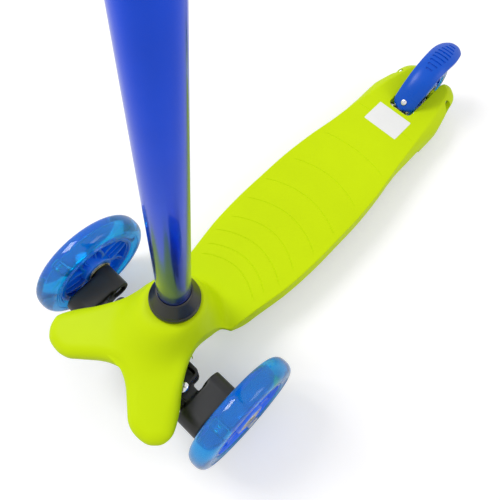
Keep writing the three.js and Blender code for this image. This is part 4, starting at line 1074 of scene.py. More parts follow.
@dataclass
class Deck:
    """The one-piece moulded deck with its three-armed nose, boss, wheel slot and the steering's housing."""

    width: float = 116.4
    top: float = 46.5
    thickness: float = 20.5
    front: float = 26.0
    rear: float = 437.0
    wall: float = 3.5
    cheek_drop: float = 5.0
    cheek_length: float = 85.0
    cheek_rear: float = 451.0
    cheek_shoulder: float = 12.0
    slot_half: float = 15.5
    slot_front: float = 364.5
    nose_half: float = 75.0
    nose_reach: float = 99.44
    notch: float = 71.5
    neck_half: float = 37.5
    window_half: float = 34.5
    ramp: Point2 = (-6.0, 28.0)
    tip_height: float = 84.0
    saddle_height: float = 97.0
    dome: float = 3.0
    dome_fade: Point2 = (-24.0, 8.0)
    boss_radius: float = 24.0
    foot_front: float = 24.0
    foot_rear: float = 12.0
    foot_side: float = 9.0
    lip_bottom: float = 82.6
    skirt_bottom: float = 77.0
    lip_slope: Point2 = (-90.0, -80.0)
    draft: float = 1.4
    least_draft: float = 0.2
    slot_rim: float = 0.7
    rim: float = 1.3
    neck_rim: Point2 = (5.0, 1.9)
    neck_fade: Point2 = (0.0, 24.0)
    nose_rim: Point2 = (11.0, 8.5)
    nose_fade: Point2 = (-64.0, -34.0)
    receiver_radius: float = 19.0
    bore_radius: float = 14.3
    receiver_depth: float = 54.0
    well_half: float = 15.5
    well_top: float = 88.0
    rib_pitch: float = 46.0
    deck_skin: float = 4.0
    recess_floor: float = 32.0
    recess_radius: float = 6.3
    spring_seat_radius: float = 7.5
    spring_seat_height: float = 86.0
    pin_wall_half: float = 13.0
    pin_wall_bottom: float = 42.8
    pin_wall_front: Point2 = (-71.2, -66.5)
    pin_wall_rear: Point2 = (-30.0, -17.0)
    pin_bore_end: float = -21.7
    pin_room_radius: float = 7.5
    pin_room_end: float = -69.3
    axle_boss_radius: float = 7.0
    axle_boss_ends: Point2 = (12.3, 19.0)
    brake_bore_half: float = 21.4
    label: tuple[float, float, float, float] = (-23.0, 23.0, 325.5, 358.5)
    groove_width: float = 1.5
    groove_depth: float = 0.55
    grid: float = 2.4
    nose_shares: tuple[Point2, ...] = (
        (0.12, 0.746), (0.227, 0.792), (0.333, 0.855), (0.44, 0.922), (0.52, 0.969), (0.627, 0.998),
        (0.747, 1.0), (0.853, 0.982), (0.933, 0.936), (0.98, 0.888), (1.0, 0.825), (0.993, 0.775),
        (0.933, 0.684), (0.853, 0.594), (0.76, 0.503), (0.653, 0.382), (0.564, 0.262), (0.509, 0.131))
    neck_shares: tuple[Point2, ...] = ((-0.1, 0.99), (0.2, 0.98), (0.5, 0.96), (0.77, 0.975))
    deck_shares: tuple[Point2, ...] = (
        (0.0, 0.739), (0.078, 0.821), (0.176, 0.938), (0.274, 0.991), (0.372, 1.0), (0.469, 0.995),
        (0.567, 0.942), (0.665, 0.852), (0.764, 0.775), (0.861, 0.675), (0.939, 0.564), (0.985, 0.481),
        (1.0, 0.4))
    foot_shares: tuple[tuple[float, float, float, float], ...] = (
        (0.62, 0.0, 0.62, 0.0), (0.667, 0.852, 0.645, 0.864), (0.764, 0.775, 0.753, 0.859),
        (0.815, 0.737, 0.809, 0.875), (0.861, 0.675, 0.852, 0.859), (0.91, 0.601, 0.899, 0.77),
        (0.939, 0.564, 0.936, 0.713), (0.968, 0.507, 0.962, 0.67), (0.985, 0.481, 0.981, 0.601),
        (0.997, 0.438, 0.995, 0.507), (1.0, 0.344, 1.0, 0.378))
    groove_ends: tuple[Point2, ...] = (
        (37, 64), (40, 77), (46, 94), (45, 117), (48.5, 146), (50.6, 178), (45, 221), (42, 275), (40.5, 338))
    groove_bulges: tuple[float, ...] = (14, 15, 17, 17, 16, 15, 11, 6, 2)

    def half_outline(self) -> np.ndarray:
        """Return the outline of the rider's left half, from the notch to the slot's middle."""
        length = self.rear - self.front
        nose: list[Point2] = [(0.0, -self.notch)]
        nose += [(x * self.nose_half, -y * self.nose_reach) for x, y in self.nose_shares]
        nose += [(x * self.neck_half, y * self.front) for y, x in self.neck_shares]
        deck = [(x * self.width / 2, self.front + y * length) for y, x in self.deck_shares]
        nose.append(deck[0])
        ahead = spline([(-nose[1][0], nose[1][1]), *nose], 10)[10:-1]
        line = np.vstack((ahead, spline(deck, 10)))
        corners = [tuple(line[-1]), (self.slot_half, self.rear), (self.slot_half, self.rear - 20)]
        tail = filleted([tuple(line[-8]), *corners], 3.0, 5, closed=False)[1:-1]
        slot = filleted([(self.slot_half, self.rear - 10), (self.slot_half, self.slot_front),
                         (0.0, self.slot_front)], 9.3, 8, closed=False)
        return np.vstack((line[:-7], np.array(tail), np.array(slot)))

    def outline(self) -> np.ndarray:
        """Return the whole outline, evenly spaced, the inside on its left."""
        half = resampled(self.half_outline(), 1.7)
        other = half[1:-1][::-1] * np.array((-1.0, 1.0))
        return ccw(np.vstack((half, other)))

    def height(self, x: np.ndarray, y: np.ndarray) -> np.ndarray:
        """Return the top surface's height: platform, ramp, boss and the drooping arms of the nose.

        Args:
            x: Places across.
            y: Places along.

        Returns:
            Heights over the floor.
        """
        fall = np.hypot(x, y + self.boss_radius) / self.nose_reach
        ease = np.sqrt(np.clip(1 - fall, 0, None) ** 2 + 0.0025) - 0.05
        arm = self.tip_height + (self.saddle_height - self.tip_height) * ease
        arm = arm + self.dome * (1 - smooth_step(*self.dome_fade, y))
        low = arm + (self.top - arm) * smooth_step(*self.ramp, y)
        reach = np.hypot(x, y)
        ahead = np.where(reach > 0, -y / np.maximum(reach, 1e-9), 0.0)
        foot_end = np.where(ahead > 0, self.foot_front, self.foot_rear)
        foot = self.foot_side + (foot_end - self.foot_side) * ahead * ahead
        beyond = np.clip(reach - self.boss_radius, 0, None) / foot
        boss = BOSS_TOP - y * math.tan(RAKE)
        return low + (boss - low) * np.exp(-beyond * beyond)

    def edge_scale(self, outline: np.ndarray) -> tuple[np.ndarray, np.ndarray, np.ndarray]:
        """Return the wall's draft and the size of the rim's rounding at each point of the outline.

        Args:
            outline: The outline.

        Returns:
            The draft, the rounding's width and its height, in millimetres.
        """
        x, y = outline[:, 0], outline[:, 1]
        inner = (np.abs(x) < self.slot_half + 0.2) & (y > self.slot_front - 1)
        tail = smooth_step(self.rear - 90, self.rear - 30, y)
        neck = 1 - smooth_step(*self.neck_fade, y)
        nose = 1 - smooth_step(*self.nose_fade, y)
        draft = np.where(inner, 0.0, self.draft * (1 - tail) * (1 - nose) + self.least_draft)
        wider = self.nose_rim[0] - self.neck_rim[0] - self.rim
        wide = np.where(inner, self.slot_rim, self.rim + self.neck_rim[0] * neck + wider * nose)
        lowest = np.interp(y, self.lip_slope, (self.skirt_bottom, self.lip_bottom)) + 0.3
        thick = np.clip(self.height(x, y) - lowest, 1.0, self.nose_rim[1])
        tall = np.where(inner, self.slot_rim, self.rim + self.neck_rim[1] * neck)
        scales = [draft, wide, tall * (1 - nose) + thick * nose]
        for _ in range(6):
            scales = [(np.roll(v, 1) + 2 * v + np.roll(v, -1)) / 4 for v in scales]
        limit = np.where(nose > 0.5, thick, np.inf)
        return scales[0], scales[1], np.minimum(scales[2], limit)

    def swell(self, outline: np.ndarray) -> np.ndarray:
        """Return how far the cheeks' foot stands out from the top edge at each point of the outline.

        Args:
            outline: The outline of the top edge.

        Returns:
            Moves in (x, y), towards the outside.
        """
        rows = np.array(self.foot_shares)
        start = self.front + rows[:, 0] * (self.rear - self.front)
        foot = self.front + rows[:, 2] * (self.cheek_rear - self.front)
        along = np.interp(outline[:, 1], start, np.where(rows[:, 1] > 0, foot - start, 0.0))
        across = np.interp(outline[:, 1], start, (rows[:, 3] - rows[:, 1]) * self.width / 2)
        outer = smooth_step(self.slot_half, self.slot_half + 4.0, np.abs(outline[:, 0]))
        inner_end = smooth_step(self.rear - 30, self.rear, outline[:, 1])
        along = along * np.maximum(outer, inner_end)
        moves = np.column_stack((np.sign(outline[:, 0]) * across * outer, along))
        for _ in range(4):
            moves = (np.roll(moves, 1, axis=0) + 2 * moves + np.roll(moves, -1, axis=0)) / 4
        return moves

    def groove_lines(self) -> list[np.ndarray]:
        """Return the middle lines of the grooves across the deck."""
        lines = []
        for (end_x, end_y), bulge in zip(self.groove_ends, self.groove_bulges):
            share = np.linspace(-1, 1, 61)
            lines.append(np.column_stack((share * end_x, end_y + bulge * (1 - share ** 2))))
        return lines

    def outer_skin(self) -> Form:
        """Return the solid deck with its rounded rim and the grooves pressed into its top."""
        outline = self.outline()
        draft, wide, tall = self.edge_scale(outline)
        moves = self.swell(outline)
        low = self.top - self.thickness - self.cheek_drop
        shoulder = self.top - self.cheek_shoulder
        rings: list[np.ndarray] = []

        def add(ring: np.ndarray, z: np.ndarray) -> None:
            """Add a ring at heights, moved out to the cheeks' foot the lower it lies.

            Args:
                ring: The ring's points in (x, y).
                z: The points' heights.
            """
            rise = np.clip((z - shoulder) / self.cheek_shoulder, 0.0, 1.0)
            rings.append(np.column_stack((ring + moves * (1 - rise ** 1.7)[:, None], z)))

        for share in (0.0, 0.25, 0.5, 0.62, 0.74, 0.86, 1.0):
            ring = inset(outline, draft * share * 0.999)
            surface = self.height(ring[:, 0], ring[:, 1]) - tall
            add(ring, low + (surface - low) * share)
        for angle in np.linspace(0, math.pi / 2, 11)[1:]:
            ring = inset(outline, draft + wide * (1 - math.cos(angle)))
            add(ring, self.height(ring[:, 0], ring[:, 1]) - tall * (1 - math.sin(angle)))
        return self.closed(rings)

    def closed(self, rings: list[np.ndarray]) -> Form:
        """Close the rings with the top surface and a flat bottom.

        Args:
            rings: The wall's rings from the bottom up.

        Returns:
            The closed form.
        """
        rim = rings[-1][:, :2]
        count = len(rim)
        points, depths, edges = [rim], [np.zeros(count)], [(i, (i + 1) % count) for i in range(count)]
        start = count
        for line in self.groove_lines():
            for offset, depth in ((-0.5, 0.0), (-0.22, 1.0), (0.22, 1.0), (0.5, 0.0)):
                side = np.column_stack((-np.gradient(line[:, 1]), np.gradient(line[:, 0])))
                side /= np.linalg.norm(side, axis=1, keepdims=True)
                ends = np.clip((1 - np.abs(np.linspace(-1, 1, len(line)))) / 0.05, 0.15, 1.0)
                moved = line + side * (offset * self.groove_width * ends)[:, None]
                points.append(moved)
                depths.append(depth * self.groove_depth * ends)
                edges += [(start + i, start + i + 1) for i in range(len(line) - 1)]
                start += len(line)
        fixed = np.vstack(points)
        inner = self.grid_points(rim, fixed)
        given = np.vstack((fixed, inner))
        depth = np.concatenate((*depths, np.zeros(len(inner))))
        places, sources, triangles, match = filled(given, edges, count)
        deep = np.array([max((depth[i] for i in origins), default=0.0) for origins in sources])
        heights = self.height(places[:, 0], places[:, 1]) - deep
        wall = np.vstack(rings)
        last = len(wall) - count
        number = {match[i]: last + i for i in range(count)}
        extra = []
        for k in range(len(places)):
            if k not in number:
                number[k] = len(wall) + len(extra)
                extra.append((places[k, 0], places[k, 1], heights[k]))
        faces = list(skin(rings, caps=False).faces)
        faces += [tuple(number[i] for i in face) for face in triangles]
        faces.append(tuple(reversed(range(count))))
        return Form(np.vstack((wall, np.array(extra))), faces)

    def grid_points(self, rim: np.ndarray, fixed: np.ndarray) -> np.ndarray:
        """Return evenly spread points inside the rim, clear of the lines already there.

        Args:
            rim: The top surface's rim.
            fixed: The points already placed.

        Returns:
            The new points.
        """
        tree = KDTree(len(fixed))
        for i, (x, y) in enumerate(fixed):
            tree.insert((x, y, 0), i)
        tree.balance()
        out = []
        low, high = rim.min(axis=0), rim.max(axis=0)
        row = 0
        y = low[1]
        while y < high[1]:
            pitch = self.grid * (0.8 if y < 60 else 1.0)
            shift = 0.5 * pitch if row % 2 else 0.0
            crossings = crossings_at(rim, y)
            for x in np.arange(low[0] + shift, high[0], pitch):
                inside = sum(1 for c in crossings if c > x) % 2 == 1
                if inside and tree.find((x, y, 0))[2] > pitch * 0.55:
                    out.append((x, y))
            y += pitch * 0.87
            row += 1
        return np.array(out)

    def under(self, outline: np.ndarray, depth: float, low: float) -> Form:
        """Return what lies under the top surface, lowered by a depth, within an outline.

        Args:
            outline: The outline.
            depth: How far below the surface it ends.
            low: Its bottom.

        Returns:
            The form.
        """
        ring = resampled(outline, 3.0, closed=True)
        count = len(ring)
        inner = self.sparse_points(ring)
        given = np.vstack((ring, inner)) if len(inner) else ring
        places, _, triangles, match = filled(given, [(i, (i + 1) % count) for i in range(count)], count)
        high = self.height(places[:, 0], places[:, 1]) - depth
        base = np.column_stack((places[[match[i] for i in range(count)]], np.full(count, low)))
        top = np.column_stack((places, high))
        faces = [tuple(count + i for i in face) for face in triangles]
        for i in range(count):
            j = (i + 1) % count
            faces.append((i, j, count + match[j], count + match[i]))
        faces.append(tuple(reversed(range(count))))
        return Form(np.vstack((base, top)), faces)

    def sparse_points(self, ring: np.ndarray) -> np.ndarray:
        """Return a coarse grid inside a ring.

        Args:
            ring: The ring's points.

        Returns:
            The grid's points, clear of the ring.
        """
        pitch, clear, out = 5.0, 2.0, []
        low, high = ring.min(axis=0) + 3, ring.max(axis=0) - 2
        for y in np.arange(low[1], high[1], pitch):
            crossings = crossings_at(ring, y)
            for x in np.arange(low[0], high[0], pitch):
                inside = sum(1 for c in crossings if c > x) % 2 == 1
                if inside and np.min(np.hypot(ring[:, 0] - x, ring[:, 1] - y)) > clear:
                    out.append((x, y))
        return np.array(out)

    def cavities(self) -> list[Form]:
        """Return the hollow of the nose and the pockets under the platform."""
        outline = self.outline()
        inner = inset(outline, self.wall + 1.6)
        nose = np.array([p for p in inner if p[1] < self.front * 0.3])
        start = int(np.argmax(np.linalg.norm(nose - np.roll(nose, 1, axis=0), axis=1)))
        hollow = self.under(np.roll(nose, -start, axis=0), self.wall * 1.9, 0.0)
        well = self.well_half
        tools = [hollow, prism(rectangle(-well, well, 0, self.front), 0, self.well_top, 2.0)]
        roof = self.top - self.deck_skin
        cheek = rectangle(self.slot_half + self.wall, self.recess_floor, self.slot_front, REAR_AXLE[0] - 16)
        pocket = prism(filleted(cheek, 2.0), 0, roof, 1.2, 2)
        tools += [pocket.mirrored(side) for side in Side]
        first, last = self.front + self.rib_pitch / 2, self.slot_front - self.wall * 2
        count = round((last - first) / self.rib_pitch)
        pitch = (last - first) / count
        for k in range(count):
            for side in Side:
                y0, y1 = first + k * pitch, first + (k + 1) * pitch - self.wall
                edge = [self.half_width_at(y) - self.wall - 1.6 for y in np.linspace(y0, y1, 9)]
                x0 = self.wall / 2
                corners = [(x0, y1), (x0, y0), *zip(edge, np.linspace(y0, y1, 9))]
                pocket = [(x * side.value, y) for x, y in filleted(corners, 3.0)]
                tools.append(prism(pocket, 0.0, roof, 1.2, 2))
        return tools

    def half_width_at(self, y: float) -> float:
        """Return the platform's half width at a place along it."""
        return max(crossings_at(self.outline(), y))

    def trims(self) -> list[Form]:
        """Return what is cut away below the nose so that the steering can swing, and below the platform."""
        far, ahead, back = 100.0, -self.nose_reach - 4, -self.front / 2
        bottom = self.top - self.thickness
        share = np.linspace(0, 1, 25)
        line = zip(50 - 68 * share, bottom + (self.lip_bottom - bottom) * smooth_step(0.0, 1.0, share))
        slope = [(50.0, 0.0), *line, (-18.0, 0.0)]
        tools = [block((-far, ahead, 0), (far, back, 45)),
                 block((-far, -2 * self.nose_reach, 0), (far, self.rear - self.cheek_length, bottom)),
                 prism(slope, -far, far, 0).moved(SIDEWAYS)]
        side_cut = [(ahead, 0.0), (ahead, self.skirt_bottom), (self.lip_slope[0], self.skirt_bottom),
                    (self.lip_slope[1], self.lip_bottom), (back, self.lip_bottom), (back, 0.0)]
        for side in Side:
            tools.append(prism(side_cut, *side.span(self.window_half, far), 0).moved(SIDEWAYS))
        mouth = self.window_half + 1
        tools.append(block((-mouth, ahead, 0), (mouth, self.pin_wall_front[0] - 0.1, self.skirt_bottom)))
        return tools

    def fittings(self) -> list[Form]:
        """Return the receiver, the walls that hold the lean pin and the springs' seats."""
        receiver = rod(self.receiver_radius, -self.receiver_depth - 5.3, -3.5, 0.6).moved(COLUMN)
        boss = rod(self.boss_radius, -14, 0, 0.5, 96).moved(COLUMN)
        depth, half = self.wall / 2, self.pin_wall_half
        walls = [self.under(ccw(rectangle(-half, half, *ends)), depth, self.pin_wall_bottom)
                 for ends in (self.pin_wall_front, self.pin_wall_rear)]
        for side in Side:
            flank = prism([(9.0, 0), (9.0, -58), (15.0, -76), (30.0, -76), (30.0, 0)], -90, -60, 0)
            walls[0] = combined(walls[0], Join.CUT, flank.moved(ALONG_Y).mirrored(side))
        turns = np.linspace(0, 2 * math.pi, 24, endpoint=False)
        radius, (x, y) = self.spring_seat_radius, SPRING_PLACE
        seats = []
        for side in Side:
            circle = np.column_stack((x * side.value + radius * np.cos(turns), y + radius * np.sin(turns)))
            seats.append(self.under(ccw([tuple(p) for p in circle]), depth, self.spring_seat_height))
        return [receiver, boss, *walls, *seats]

    def bores(self) -> list[Form]:
        """Return the bores of the column, the button, the axle and its recesses, and the pins."""
        column = drill(self.bore_radius, -self.receiver_depth - TOUCH_GAP, 20, 64).moved(COLUMN)
        button = drill(BORE, 0, 22).moved(COLUMN @ BUTTON_AXIS)
        axle = drill(BORE, -70, 70).moved(at(0, *REAR_AXLE) @ ALONG_X)
        recess = drill(self.recess_radius, self.recess_floor, 70, 48).moved(ALONG_X)
        recesses = [recess.mirrored(side).moved(at(0, *REAR_AXLE)) for side in Side]
        along_pin = at(0, 0, LEAN_HEIGHT) @ ALONG_Y
        pin = drill(BORE, -self.nose_reach, self.pin_bore_end).moved(along_pin)
        room = drill(self.pin_room_radius, -self.nose_reach, self.pin_room_end).moved(along_pin)
        half = self.brake_bore_half
        brake = drill(BRAKE_BORE, -half, half).moved(at(0, *BRAKE_PIVOT) @ ALONG_X)
        return [column, button, axle, *recesses, pin, room, brake]

    def shape(self) -> Form:
        """Return the finished deck."""
        body = combined(self.outer_skin(), Join.CUT, *self.cavities(), *self.trims())
        body = combined(body, Join.UNION, *self.fittings())
        boss = rod(self.axle_boss_radius, *self.axle_boss_ends, 0.3, 32).moved(ALONG_X)
        bosses = [boss.mirrored(side).moved(at(0, *REAR_AXLE)) for side in Side]
        body = combined(body, Join.UNION, *bosses)
        return combined(body, Join.CUT, *self.bores())

    def zone(self, points: np.ndarray) -> np.ndarray:
        """Return how strongly each point of the top is stippled.

        Args:
            points: Points in millimetres.

        Returns:
            Values from 0 to 1.
        """
        ends = np.array(self.groove_ends)
        half = np.interp(points[:, 1], ends[:, 1], ends[:, 0])
        share = np.clip(np.abs(points[:, 0]) / half, 0, 1)
        first = ends[0, 1] + self.groove_bulges[0] * (1 - share ** 2)
        last = ends[-1, 1] + self.groove_bulges[-1] * (1 - share ** 2)
        inside = smooth_step(-1.0, 1.5, half - np.abs(points[:, 0]))
        inside = inside * smooth_step(-1.0, 1.5, points[:, 1] - first)
        inside = inside * smooth_step(-1.0, 1.5, last - points[:, 1])
        return inside * (points[:, 2] > self.top - 1.5)

    def build(self) -> None:
        """Make and dress the deck and its plain label."""
        form = self.shape()
        made = piece("deck_shell", form, Palette.DECK, Body.DECK, ["deck"])
        values = made.data.attributes.new("grain", "FLOAT", "POINT")
        values.data.foreach_set("value", self.zone(form.points).astype(np.float32))
        label = prism(filleted(rectangle(*self.label), 1.2), self.top + 0.02, self.top + 0.3, 0.1, 1)
        piece("deck_label", label, Palette.LABEL, Body.DECK)


# Wheels


@dataclass
class Wheel:
    """A cast wheel: clear tyre, ribbed core, two bearings and a spacer, drawn along Z about its middle."""

    name: str
    body: Body
    centre: tuple[float, float, float]
    diameter: float
    width: float
    rim: float
    lit: bool
    lean: float = 0.0
    hub_radius: float = 15.5
    bearing_radius: float = 11.0
    bearing_width: float = 7.0
    rim_wall: float = 4.5
    ribs: int = 5
    rib_sweep: float = 0.46
    rib_thickness: float = 2.4
    thin_rib_offset: float = 0.3
    thin_rib_sweep: float = 0.18
    thin_rib_thickness: float = 1.3
    band_height: float = 3.1
    band_half: float = 4.5
    lamps: int = 3
    housing_half: float = 5.5
    housing_deep: float = 4.2
    housing_height: float = 7.4
    lamp_seat: float = 5.2
    lamp_offset: float = 2.2

    @property
    def place(self) -> Matrix:
        """Return the turn and move from the drawing of the wheel to its place."""
        return at(*self.centre) @ Matrix.Rotation(self.lean, 4, "Y") @ ALONG_X

    def around(self, count: int) -> list[Matrix]:
        """Return the turns about the wheel's own axis that share it out evenly."""
        return [Matrix.Rotation(2 * math.pi * k / count, 4, "Z") for k in range(count)]

    def tyre(self) -> Form:
        """Return the tyre with its round crown, beads and thin moulded rings on its sides."""
        half, radius, inner = self.width / 2, self.diameter / 2, self.rim / 2 + TOUCH_GAP
        rim = self.rim / 2
        shoulder = rim + (radius - rim) * 0.45
        side: list[Point2] = [(inner, half * 0.88), (inner + 0.8, half * 0.94)]
        lines = 3 if self.lit else 1
        start = rim + 2.0
        for k in range(lines):
            r = start + (shoulder - start) * k / lines
            side += [(r, half * 0.955 + 0.25), (r + 0.7, half * 0.955 + 0.25), (r + 0.9, half * 0.955 - 0.1),
                     (r + 1.7, half * 0.965 - 0.1)]
        for a in np.linspace(0, math.pi / 2, 15):
            rise, across = math.sin(a) ** 0.9, max(math.cos(a), 0.0) ** 0.8
            side.append((shoulder + (radius - shoulder) * rise, half * across))
        other = [(r, -x) for r, x in reversed(side[:-1])]
        groove: list[Point2] = []
        if self.lit:
            deep, wide = self.band_height + TOUCH_GAP, self.band_half + TOUCH_GAP
            groove = [(inner, -wide), (inner + deep, -wide), (inner + deep, wide), (inner, wide)]
        tyre = lathe([*side, *other, *groove], 120)
        if self.lit:
            tyre = combined(tyre, Join.CUT, *self.light_blocks(TOUCH_GAP))
        return tyre

    def light_blocks(self, growth: float) -> list[Form]:
        """Return the lamps' housings.

        Args:
            growth: How far their faces are moved outwards, as a clearance.

        Returns:
            One block for each lamp.
        """
        rim = self.rim / 2
        half, deep = self.housing_half + growth, self.housing_deep + growth
        housing = prism(filleted(rectangle(-half, half, -deep, deep), 1.6), rim + 1.7,
                        rim + TOUCH_GAP + self.housing_height + growth, 0.8)
        level = ALONG_Y @ Matrix.Rotation(math.pi / 2, 4, "Z")
        return [housing.moved(turn @ level) for turn in self.around(self.lamps)]

    def core(self) -> Form:
        """Return the core: rim, thin web, hub and the curved ribs between them."""
        half, rim, hub = self.width / 2, self.rim / 2, self.hub_radius
        seat = self.bearing_radius + TOUCH_GAP
        shoulder = half - self.bearing_width - TOUCH_GAP
        rim_inner, rim_half, web = rim - self.rim_wall, half * 0.87, 1.5
        one = [(seat * 0.8, shoulder), (seat, shoulder), (seat, half - 0.3), (hub - 0.8, half - 0.3),
               (hub, half - 1.1), (hub + 1.2, web), (rim_inner - 1.0, web), (rim_inner, rim_half - 1.6),
               (rim_inner + 1.6, rim_half - 1.6), (rim_inner + 1.6, rim_half), (rim, rim_half)]
        profile = [*one, *[(r, -z) for r, z in reversed(one)]]
        body = lathe(filleted(profile, 0.5, 2), 120)
        ribs: list[Form] = []
        reach = rim_half - 1.8
        for turn in self.around(self.ribs):
            for sign in (1, -1):
                ribs.append(self.rib(0.0, sign * self.rib_sweep, self.rib_thickness, reach).moved(turn))
            for sign in (-1, 1) if self.lit else ():
                start = math.pi / self.ribs + sign * self.thin_rib_offset
                thin = self.rib(start, -sign * self.thin_rib_sweep, self.thin_rib_thickness, reach * 0.7)
                ribs.append(thin.moved(turn))
        return combined(body, Join.UNION, *ribs)

    def rib(self, start: float, sweep: float, thick: float, reach: float) -> Form:
        """Return one curved rib from the hub to the rim.

        Args:
            start: Its angle at the hub.
            sweep: How far it turns on its way out.
            thick: Its thickness.
            reach: Its half height.

        Returns:
            The rib.
        """
        inner, outer = self.hub_radius - 1.5, self.rim / 2 - self.rim_wall / 2
        near, far = [], []
        for share in np.linspace(0, 1, 9):
            radius = inner + (outer - inner) * share
            angle = start + sweep * share ** 1.6
            half = thick / 2 / radius * (1.25 - 0.25 * share)
            near.append((radius * math.cos(angle - half), radius * math.sin(angle - half)))
            far.append((radius * math.cos(angle + half), radius * math.sin(angle + half)))
        return prism([*near, *reversed(far)], -reach, reach, 0.45, 2)

    def light_ring(self) -> Form:
        """Return the clear band with its three lamp housings."""
        inner = self.rim / 2 + TOUCH_GAP
        band = tube(inner, inner + self.band_height, -self.band_half, self.band_half, 0.3, 96)
        return combined(band, Join.UNION, *self.light_blocks(0.0))

    def bearing(self) -> Form:
        """Return a bearing with its two rings, the shield sunk between them."""
        inner, outer, high = BORE, self.bearing_radius, self.width / 2
        low = high - self.bearing_width
        shield = high - 0.45
        profile = [(inner, low), (outer, low), (outer, high), (outer - 1.6, high), (outer - 1.8, shield),
                   (inner + 2.0, shield), (inner + 1.8, high), (inner, high)]
        return lathe(filleted(profile, 0.25, 2), 64)

    def lamp_forms(self) -> Form:
        """Return the small metal lamps that stand in pairs in the housings."""
        lamp = turned([(0, 0), (1.5, 0), (1.5, 2.6), (0.9, 3.8), (0, 4.1)], 0.3, 24)
        base = prism(filleted(rectangle(-4, 4, -2.6, 2.6), 0.6), -1.0, 0.1, 0.2)
        parts = []
        for turn in self.around(self.lamps):
            seat = turn @ at(0, self.rim / 2 + self.lamp_seat, 0) @ ALONG_Y
            parts += [lamp.moved(seat @ at(x, 0, 0)) for x in (-self.lamp_offset, self.lamp_offset)]
            parts.append(base.moved(seat))
        return parts[0].plus(*parts[1:])

    def add(self, word: str, form: Form, finish: Palette, node: Optional[str] = None) -> None:
        """Make and dress one of the wheel's pieces.

        Args:
            word: What its name says after the wheel's.
            form: Its shape about the wheel's middle.
            finish: Its finish.
            node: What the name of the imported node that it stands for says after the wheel's, or None.
        """
        replaces = [f"{self.name}_{node}"] if node else []
        piece(f"{self.name}_{word}", form.moved(self.place), finish, self.body, replaces)

    def build(self) -> None:
        """Make and dress the wheel's pieces."""
        self.add("cast_tyre", self.tyre(), Palette.TYRE, "tyre")
        self.add("ribbed_core", self.core(), Palette.CORE, "core")
        if self.lit:
            self.add("lamp_band", self.light_ring(), Palette.LIGHTS, "light_ring")
            self.add("lamps", self.lamp_forms(), Palette.SCREW)
        bearing = self.bearing()
        for side in Side:
            form = bearing if side is Side.LEFT else bearing.moved(Matrix.Rotation(math.pi, 4, "X"))
            self.add(f"ball_bearing_{side.word}", form, Palette.ZINC, f"bearing_{side.word}")
        reach = self.width / 2 - self.bearing_width - TOUCH_GAP
        self.add("sleeve", tube(BORE, BORE + 2.6, -reach, reach), Palette.ZINC, "spacer")


# Front corners and steering


